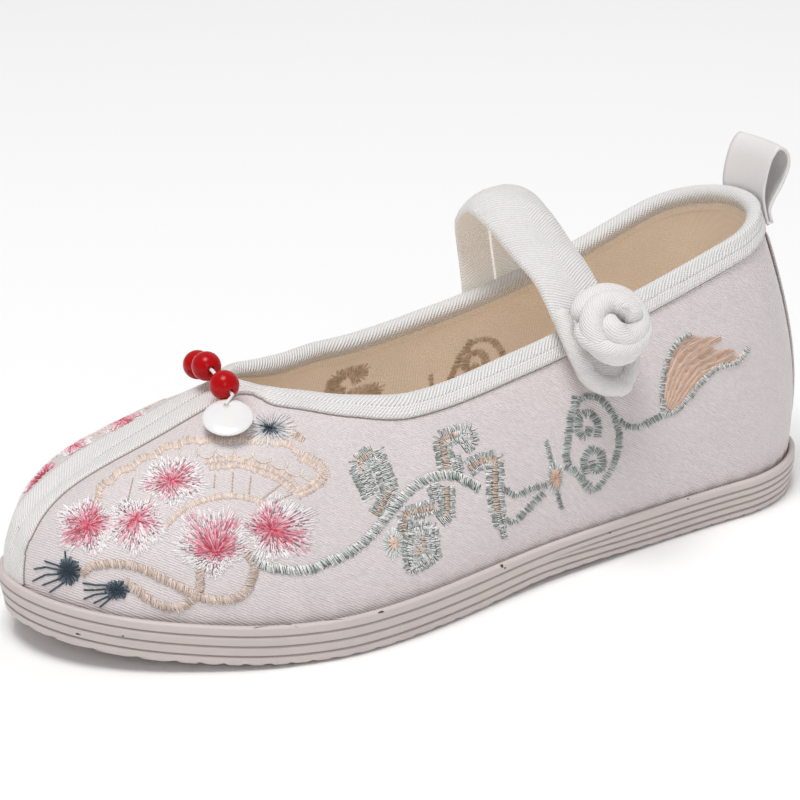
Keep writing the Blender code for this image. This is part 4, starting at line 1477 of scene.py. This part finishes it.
class Motif:
    """One group of stitches, gathered on the outer side and made into a mesh for each side."""

    def __init__(self, name, seed):
        self.name = name
        self.chance = random.Random(seed)
        self.stitches = []

    def sew(self, pixels, tints, lift=0.0, wide=1.0):
        """A stitch over pixels of the photograph; its tints run from the first to the last."""
        length = sum(math.dist(a, b) for a, b in zip(pixels, pixels[1:]))
        if length < STITCH_LEAST:
            return
        inner = np.linspace(THREAD_TAPER, 1 - THREAD_TAPER, 2 + int(length / STITCH_SPAN))
        shares = [0.0, *inner, 1.0]
        spots = [SKIN.seen(*p) for p in at_shares(pixels, shares)]
        if None in spots:
            return
        light = THREAD_LIGHT[0] + THREAD_LIGHT[1] * self.chance.random()
        shades = []
        for share in shares:
            part = share * (len(tints) - 1)
            a, b = DYES[tints[int(part)]], DYES[tints[min(int(part) + 1, len(tints) - 1)]]
            mixed = Vector(a).lerp(Vector(b), part - int(part)) * light
            shades.append(tuple(min(1.0, value) for value in mixed))
        self.stitches.append((spots, shades, lift, wide))

    def stray(self, amount):
        return amount * (2 * self.chance.random() - 1)

    def band(self, path, mixes, shade, width, curved=True, lift=0.0, lean=0.0, inset=0.0, scallop=None):
        """Frayed stitches across a path, in one lane for each mix of tints, over dark threads of painted
        shade in the gaps between them.
        """
        points = [Vector(p) for p in path]
        count = max(3, int(run_lengths(points)[-1] / STITCH_PITCH))
        line = spline(points, count) if curved else spread(points, count)
        lane = width / len(mixes)
        for k, spot in enumerate(line):
            way = way_at(line, k)
            side = Vector((-way.y, way.x))
            if scallop:
                bumps, height = scallop
                spot = spot - side * height * abs(math.sin(math.pi * bumps * k / (count - 1)))
            spot = spot + side * inset
            # Dark thread of painted shade in the gap between two stitches.
            under = spot + way * STITCH_PITCH / 2
            half = side * width * PAINTED_GAP_SHADE_HALF
            self.sew([under - half, under + half], (shade, shade), lift - PAINTED_GAP_SHADE_SUNK)
            for row, mix in enumerate(mixes):
                aside = lane * (row + 0.5) - width / 2 + self.stray(FRAY)
                middle = spot + side * aside + way * self.stray(FRAY_ALONG * STITCH_PITCH)
                half = side * (lane * LANE_HALF + self.stray(FRAY)) + way * (lean + self.stray(FRAY_LEAN))
                self.sew([middle - half, middle + half], self.chance.choice(mix), lift)

    def line(self, path, tints, length, wide, lift=0.0):
        """A line of back stitches along a path."""
        points = [Vector(p) for p in path]
        count = max(2, int(run_lengths(points)[-1] / length) + 1)
        fine = spline(points, count)
        for a, b in zip(fine, fine[1:]):
            over = (b - a) * STITCH_OVER
            self.sew([a - over, b + over], tints, lift, wide)

    def ray(self, k, count, loose, reach):
        """Angle of one of a count of rays, and its end on an ellipse of the given reach."""
        angle = 2 * math.pi * (k + self.stray(loose)) / count
        return angle, Vector((math.cos(angle) * reach[0], math.sin(angle) * reach[1]))

    def burst(self, middle, rings, reach, lift):
        """Stitches that radiate from a middle; a ring is its two ends as shares, count, tints and lift."""
        middle = Vector(middle)
        for low, high, count, tints, rise in rings:
            for k in range(count):
                _, rim = self.ray(k, count, BURST_STRAY["turn"], reach)
                start = middle + rim * max(0.0, low + self.stray(BURST_STRAY["start"]))
                end = middle + rim * (high + self.stray(BURST_STRAY["end"]))
                self.sew([start, end], tints, lift + rise)

    def bloom(self, core, middle, reach, warm, other, heat):
        """Blossom of short stitches in rings: red at the core to white outside, further one way."""
        core, middle = Vector(core), Vector(middle)
        turn = self.stray(1.0)
        for low, high, count, rise in BLOOM_RINGS:
            for k in range(count):
                angle, rim = self.ray(k, count, BLOOM_STRAY["turn"], reach)
                lobe = 1 - BLOOM_LOBE_DEEP + BLOOM_LOBE_DEEP * math.cos(BLOOM_LOBES * (angle - turn))
                rim = middle + rim * lobe
                a = max(0.0, low + self.stray(BLOOM_STRAY["start"]))
                b = high + self.stray(BLOOM_STRAY["end"])
                off = Vector((self.stray(BLOOM_STRAY["rim"]), self.stray(BLOOM_STRAY["rim"])))
                ends = [core.lerp(rim, a), core.lerp(rim, b) + off]
                # Sunk rings are dark threads of painted shade between the stitches.
                if rise < 0:
                    self.sew(ends, BLOOM_PAINTED_GAP_SHADE, rise)
                    continue
                facing = max(math.cos(angle - warm), math.cos(angle - other))
                cooling = BLOOM_COOLING - BLOOM_SWING * facing
                warmth = heat + self.stray(BLOOM_STRAY["heat"])
                tints = [self.bloom_tint(warmth - part * cooling) for part in (a, b)]
                self.sew(ends, tints, rise)

    @staticmethod
    def bloom_tint(warmth):
        for least, tint in BLOOM_STOPS:
            if warmth > least:
                return tint
        return "white"

    def build(self, side, slot, surface=None):
        """Mesh of all stitches on one side of the shoe, or their backs on another surface."""
        points = []
        faces = []
        shades = []
        for spots, tints, lift, wide in self.stitches:
            if min(abs(p.y) for p, _ in spots) < TAPE_COVER:
                continue
            if side == MEDIAL:
                spots = [(surface or SKIN).nearest(Vector((p.x, -p.y, p.z))) for p, _ in spots]
            elif surface:
                spots = [surface.nearest(p) for p, _ in spots]
            if surface:
                tints = [DYES[self.chance.choice(BACK_TINTS)]] * len(tints)
            add_thread(points, faces, spots, lift, BACK_WIDE if surface else wide)
            for k, shade in enumerate(tints):
                ends = k in (0, len(tints) - 1)
                shades += [shade] * (1 if ends else 4)
        name = self.name + "_" + SIDE_NAMES[side] + ("_backs" if surface else "")
        return add_piece(name, points, faces, "thread", tints=shades)


def add_thread(points, faces, spots, lift, wide):
    """Adds one rounded thread, pointed at both ends, over spots of a surface."""
    first = len(points)
    last = len(spots) - 1
    for k, (spot, normal) in enumerate(spots):
        if k in (0, last):
            points.append(spot + normal * (0.25 * lift - THREAD_EDGE))
            continue
        way = spots[k + 1][0] - spots[k - 1][0]
        side = way.cross(normal).normalized() * THREAD_WIDE * wide / 2
        low = spot + normal * (lift + THREAD_EDGE)
        top = spot + normal * (lift + THREAD_HIGH)
        points += [low + side, top, low - side, spot + normal * (lift - THREAD_UNDER)]
    for face in tube_faces(last - 1, 4, caps=False):
        faces.append(tuple(first + 1 + k for k in face))
    tip = len(points) - 1
    for j in range(4):
        m = (j + 1) % 4
        faces += [(first, first + 1 + j, first + 1 + m), (tip - 4 + j, tip, tip - 4 + m)]


BLOSSOMS = table(
    "core        middle      reach     warm  other heat",
    ((89, 525),  (86, 526),  (34, 31), -0.6, 2.3,  0.72),
    ((136, 518), (135, 525), (34, 31), -0.3, 2.1,  0.56),
    ((171, 482), (174, 480), (37, 28), -0.7, 2.6,  0.58),
    ((216, 553), (211, 541), (40, 38), -2.2, -0.7, 0.68),
    ((271, 530), (280, 529), (40, 36), -2.6, 0.6,  0.68))
# Blossoms of the inner side only, close to the toe tape
FAR_BLOSSOMS = table(
    "core        middle      reach     warm other heat",
    ((44, 477),  (42, 478),  (26, 22), 2.4, -0.7, 0.90),
    ((74, 446),  (74, 446),  (24, 15), 2.6, -0.5, 0.58),
    ((120, 421), (120, 421), (34, 15), 5.7, 2.6,  0.70))
# Rings of a blossom: ends as shares, count and lift; the two sunk rings are dark threads of painted shade in
# the gaps.
BLOOM_RINGS = (
    (0.05, 0.40, 34, -0.06),
    (0.35, 0.85, 60, -0.08),
    (0.80, 1.00, 112, 0.00),
    (0.68, 0.85, 102, 0.01),
    (0.57, 0.73, 90, 0.02),
    (0.46, 0.62, 78, 0.03),
    (0.35, 0.51, 66, 0.04),
    (0.24, 0.40, 52, 0.05),
    (0.12, 0.29, 38, 0.06),
    (0.00, 0.17, 22, 0.07))
# Tints of the painted shade between a blossom's stitches
BLOOM_PAINTED_GAP_SHADE = ("plum", "smoke")
BLOOM_COOLING = 1.25
BLOOM_SWING = 0.5
BLOOM_STOPS = ((0.62, "red"), (0.44, "rose"), (0.22, "pink"), (0.06, "blush"))
PALE_FLOWER_RINGS = (
    (0.35, 1.0, 44, ("slate", "white", "white"), 0.0),
    (0.15, 0.65, 30, ("slate", "white"), 0.08),
    (0.02, 0.38, 26, ("ink", "navy"), 0.12))
PALE_FLOWER = (270, 429)
PALE_FLOWER_STEM = ((286, 424), (294, 433), (303, 440))


def sew_blooms(name, seed, blooms):
    """A group of plum blossoms."""
    motif = Motif(name, seed)
    for bloom in rows_of(blooms):
        motif.bloom(*bloom)
    return motif


def sew_blossoms():
    """Five plum blossoms and the small pale flower by the disc."""
    motif = sew_blooms("blossoms", 11, BLOSSOMS)
    motif.burst(PALE_FLOWER, PALE_FLOWER_RINGS, reach=(26, 18), lift=0.1)
    motif.band(PALE_FLOWER_STEM, [CREAM_MIX], "bark", width=8.0)
    return motif


FAN_RIM = ((99, 502), (105, 487), (125, 472), (152, 457), (175, 447), (200, 442), (230, 441), (255, 442),
           (280, 445), (298, 453))
FAN_END = ((300, 455), (315, 463), (324, 472), (318, 482), (308, 489), (298, 494))
FAN_ARCS = (
    ((205, 462), (232, 459), (252, 464), (272, 470), (290, 479), (301, 490)),
    ((210, 468), (240, 466), (257, 471), (277, 479), (293, 491)),
    ((166, 527), (175, 516), (190, 506), (210, 499), (230, 496), (250, 499), (267, 504)))
FAN_RIBS = (
    ((233, 472), (232, 492)), ((215, 474), (214, 488)), ((251, 476), (249, 494)), ((262, 499), (284, 482)),
    ((274, 502), (292, 494)), ((198, 472), (196, 496)), ((160, 470), (150, 500)), ((133, 478), (128, 500)))
FAN_CELL_WIDE = 9
FAN_CELL_HIGH = 7
FAN_CELL_LEAN = 2
FAN_CELL_TURNS = np.linspace(-0.2, math.pi + 0.2, 9)
FAN_CELLS = ((188, 453), (205, 451), (224, 450), (244, 452), (262, 456), (279, 462), (294, 469), (310, 474))


def sew_fan():
    """Folding fan: scalloped rim, double arc, lower arc, ribs and small rings between them."""
    motif = Motif("fan", 12)
    motif.band(FAN_RIM, [CREAM_MIX], "tan", width=8.0, scallop=(9, 3.5))
    motif.band(FAN_END, [CREAM_MIX, CREAM_MIX], "tan", width=12.0)
    for arc in FAN_ARCS:
        motif.band(arc, [CREAM_MIX], "tan", width=6.0)
    for rib in FAN_RIBS:
        motif.line(rib, ("tan", "bark"), length=3.2, wide=0.9)
    bows = [(math.cos(turn), math.sin(turn)) for turn in FAN_CELL_TURNS]
    for x, y in FAN_CELLS:
        cell = [(x + FAN_CELL_WIDE * c, y + FAN_CELL_HIGH * s + FAN_CELL_LEAN * c) for c, s in bows]
        motif.line(cell, ("cream", "tan"), length=4.0, wide=1.2)
    return motif


CORDS = (
    ((81, 574), (92, 566), (115, 564), (137, 567), (157, 576), (177, 586), (195, 595), (210, 600), (230, 600),
     (245, 592), (252, 580), (254, 565), (247, 553)),
    ((125, 582), (137, 590), (150, 600), (165, 607), (180, 607), (192, 600), (200, 590), (200, 570)))
TASSEL_RINGS = (
    (0.35, 1.0, 40, ("ink", "navy"), 0.0),
    (0.30, 1.0, 22, ("ink", "navy", "slate"), 0.06),
    (0.02, 0.6, 26, ("ink", "navy", "ink"), 0.1))
TASSEL_HEADS = (((69, 571), (12, 14)), ((117, 590), (12, 10)))
TASSEL_THREADS = (
    ((60, 566), (45, 561), (29, 562)), ((59, 570), (46, 567), (34, 569)), ((60, 574), (48, 574), (33, 581)),
    ((62, 578), (52, 580), (43, 585)), ((65, 582), (58, 586), (50, 592)), ((66, 560), (65, 551)),
    ((107, 585), (95, 585), (83, 583)), ((106, 589), (96, 590), (84, 590)),
    ((107, 593), (97, 594), (84, 599)), ((109, 596), (102, 599), (94, 603)),
    ((111, 598), (106, 602), (100, 607)))


def sew_cords():
    """Peach cords of the fan, crossing once, and its two dark tassels."""
    motif = Motif("cords", 13)
    for cord in CORDS:
        motif.band(cord, [PEACH_MIX], "bark", width=9.0, lift=0.12, lean=1.6)
    for middle, reach in TASSEL_HEADS:
        motif.burst(middle, TASSEL_RINGS, reach, lift=0.15)
    for thread in TASSEL_THREADS:
        motif.line(thread, ("ink", "navy", "ink"), lift=0.05, length=11.0, wide=1.3)
    return motif


SAGE_RIBBON = ((252, 556), (265, 566), (287, 570), (310, 569), (328, 562), (345, 555), (360, 545), (375, 530),
               (387, 516), (400, 500), (415, 486), (432, 477), (450, 475), (465, 480), (478, 488))
FRETS = table(
    "lanes      width path",
    (GREY_FRET, 17.0, ((371, 498), (357, 468))),
    (WARM_FRET, 17.0, ((361, 472), (358, 462), (372, 451))),
    (GREY_FRET, 17.0, ((375, 450), (392, 490))),
    (WARM_FRET, 15.0, ((392, 489), (378, 515))),
    (WARM_FRET, 17.0, ((446, 468), (440, 440), (456, 433))),
    (GREY_FRET, 15.0, ((455, 433), (470, 430), (472, 442), (464, 448))),
    (GREY_FRET, 8.0,  ((457, 455), (460, 472))),
    (WARM_FRET, 16.0, ((468, 468), (481, 460), (496, 458), (496, 495), (499, 512))),
    (GREY_FRET, 13.0, ((499, 511), (502, 526))),
    (GREY_FRET, 5.0,  ((502, 525), (505, 537))),
    (WARM_FRET, 14.0, ((448, 486), (448, 516))),
    (GREY_FRET, 14.0, ((448, 515), (441, 521))),
    (GREY_FRET, 12.0, ((434, 484), (438, 500))),
    (WARM_FRET, 14.0, ((404, 534), (404, 514), (434, 506))),
    (GREY_FRET, 13.0, ((408, 548), (412, 529), (432, 526), (435, 556), (411, 570), (408, 548))),
    (WARM_FRET, 14.0, ((424, 538), (425, 550), (416, 556), (417, 542))))
FRET_SPREAD = 2.0
SAGE_LINKS = (
    ((503, 489), (517, 495), (532, 489), (546, 486)),
    ((504, 520), (515, 522), (527, 510), (543, 494)),
    ((565, 466), (577, 474), (590, 487)),
    ((620, 422), (630, 427), (642, 426), (660, 416)))
CARTOUCHE = ((580, 399), (572, 412), (569, 432), (567, 460), (579, 475), (591, 491), (606, 478), (617, 455),
             (619, 432), (612, 412), (601, 400), (588, 396), (580, 399))
CLOUDS = table(
    "width path",
    (9.0, ((597, 437), (598, 424), (590, 413), (580, 417), (578, 430), (585, 437), (590, 428))),
    (7.0, ((575, 396), (574, 405), (577, 412))),
    (9.0, ((587, 474), (584, 461), (591, 450), (601, 454), (602, 466), (595, 471), (592, 462))))
SPINDLE_RINGS = (
    (0.45, 1.0, 26, ("deep_sage", "pale_sage"), 0.0),
    (0.0, 0.65, 26, ("amber", "salmon"), 0.08))
FRET_FLOWER = (393, 544)
FRET_FLOWER_RINGS = (
    (0.4, 1.0, 30, ("sage", "pale_sage"), 0.0),
    (0.0, 0.55, 20, ("salmon", "pale_salmon"), 0.08))
SPINDLE = ((546, 441), (551, 460), (555, 478), (558, 494), (562, 508))


def sew_frets():
    """Sage ribbon, key frets, links, spindle and the cloud cartouche."""
    motif = Motif("frets", 14)
    motif.band(SAGE_RIBBON, [SAGE_MIX], "dusk", width=9.5, lift=0.18, lean=1.6)
    for lanes, width, fret in rows_of(FRETS):
        motif.band(fret, lanes, "dusk", width + FRET_SPREAD, curved=False, inset=FRET_SPREAD / 2)
    for link in (*SAGE_LINKS, CARTOUCHE):
        motif.band(link, [CLOUD_MIX], "dusk", width=7.5, lean=0.8)
    for width, cloud in rows_of(CLOUDS):
        motif.band(cloud, [CLOUD_MIX], "dusk", width)
    motif.band(SPINDLE, [CLOUD_MIX], "dusk", width=4.5)
    motif.burst(SPINDLE[2], SPINDLE_RINGS, reach=(9, 17), lift=0.1)
    motif.burst(FRET_FLOWER, FRET_FLOWER_RINGS, reach=(11, 16), lift=0.1)
    return motif


FEATHER_LEFT = ((663, 412), (662, 388), (668, 358), (679, 341), (690, 335))
FEATHER_RIGHT = ((664, 415), (678, 409), (700, 383), (717, 368), (737, 362), (748, 349))
FEATHER_TIPS = ((690, 335), (704, 338), (721, 336), (722, 340), (708, 347), (722, 350), (735, 349),
                (734, 354), (724, 357), (738, 356), (748, 349))
FEATHER_STRANDS = 44
FEATHER_POINTS = 12
FEATHER_TINTS = (("amber", "salmon"), ("salmon", "amber"), ("amber", "amber"), ("bark", "salmon"),
                 ("amber", "salmon"), ("peach", "salmon"))


def sew_feather():
    """Feather at the heel: long amber stitches between two pale outlines."""
    motif = Motif("feather", 15)
    left = spline(FEATHER_LEFT, FEATHER_POINTS)
    right = spline(FEATHER_RIGHT, FEATHER_POINTS)
    tips = spread([Vector(p) for p in FEATHER_TIPS], FEATHER_STRANDS)
    for j in range(FEATHER_STRANDS):
        part = j / (FEATHER_STRANDS - 1)
        strand = [a.lerp(b, part) for a, b in zip(left, right)]
        shift = tips[j] - strand[-1]
        strand = [p + shift * (k / (FEATHER_POINTS - 1)) ** 3 for k, p in enumerate(strand)]
        tints = FEATHER_TINTS[j % len(FEATHER_TINTS)]
        motif.line(strand[1:], tints, length=12.0 + motif.stray(4.0), wide=1.2)
    motif.band(left, [SAGE_MIX], "dusk", width=5.0, lift=0.15)
    motif.band(right, [SAGE_MIX], "dusk", width=6.0, lift=0.15)
    return motif


def add_embroidery():
    """All motifs on both sides, and the backs of the frets and the fan on the lining."""
    for motif in (sew_blossoms(), sew_fan(), sew_cords(), sew_frets(), sew_feather()):
        for side in SIDE_NAMES:
            motif.build(side, "upper")
            if motif.name in ("fan", "frets"):
                motif.build(side, "upper", LINING)
    sew_blooms("far_blossoms", 16, FAR_BLOSSOMS).build(LATERAL, "upper")


add_embroidery()


# Stage

FLOOR_HALF = 4.0
LIGHTS = table(
    "name        place              size power",
    ("overhead", (0.5, 0.4, 2.3),   1.0, 36.0),
    ("front",    (0.8, 2.2, 1.3),   0.8, 5.3),
    ("back",     (-1.6, -1.0, 1.4), 1.4, 2.0))
LIGHT_TARGET = Vector((0.0, 0.0, 0.03))
SURROUND_LIGHT = 0.42


def add_floor():
    """Plain pale floor."""
    corners = [(x * FLOOR_HALF, y * FLOOR_HALF, 0) for x, y in ((-1, -1), (1, -1), (1, 1), (-1, 1))]
    mesh = bpy.data.meshes.new("floor")
    mesh.from_pydata(corners, [], [(0, 1, 2, 3)])
    made = Finish("floor", (0.97, 0.97, 0.97), 0.9)
    made.feed("Base Color", made.mix(made.noise(size=400.0), (0.96, 0.96, 0.96), (0.98, 0.98, 0.98)))
    mesh.materials.append(made.material)
    add_object("floor", mesh)


def add_light(name, place, size, power):
    """Soft square light that looks at the shoe."""
    data = bpy.data.lights.new(name, "AREA")
    data.size = size
    data.energy = power
    item = add_object(name, data)
    item.location = place
    item.rotation_euler = (LIGHT_TARGET - Vector(place)).to_track_quat("-Z", "Y").to_euler()


def add_stage():
    """Floor, soft lights and a white surround."""
    add_floor()
    for light in rows_of(LIGHTS):
        add_light(*light)
    world = bpy.data.worlds.new("surround")
    world.use_nodes = True
    surround = world.node_tree.nodes["Background"]
    surround.inputs["Color"].default_value = (1.0, 1.0, 1.0, 1.0)
    surround.inputs["Strength"].default_value = SURROUND_LIGHT
    bpy.context.scene.world = world
    bpy.context.scene.view_settings.view_transform = "Standard"


add_camera()
add_stage()
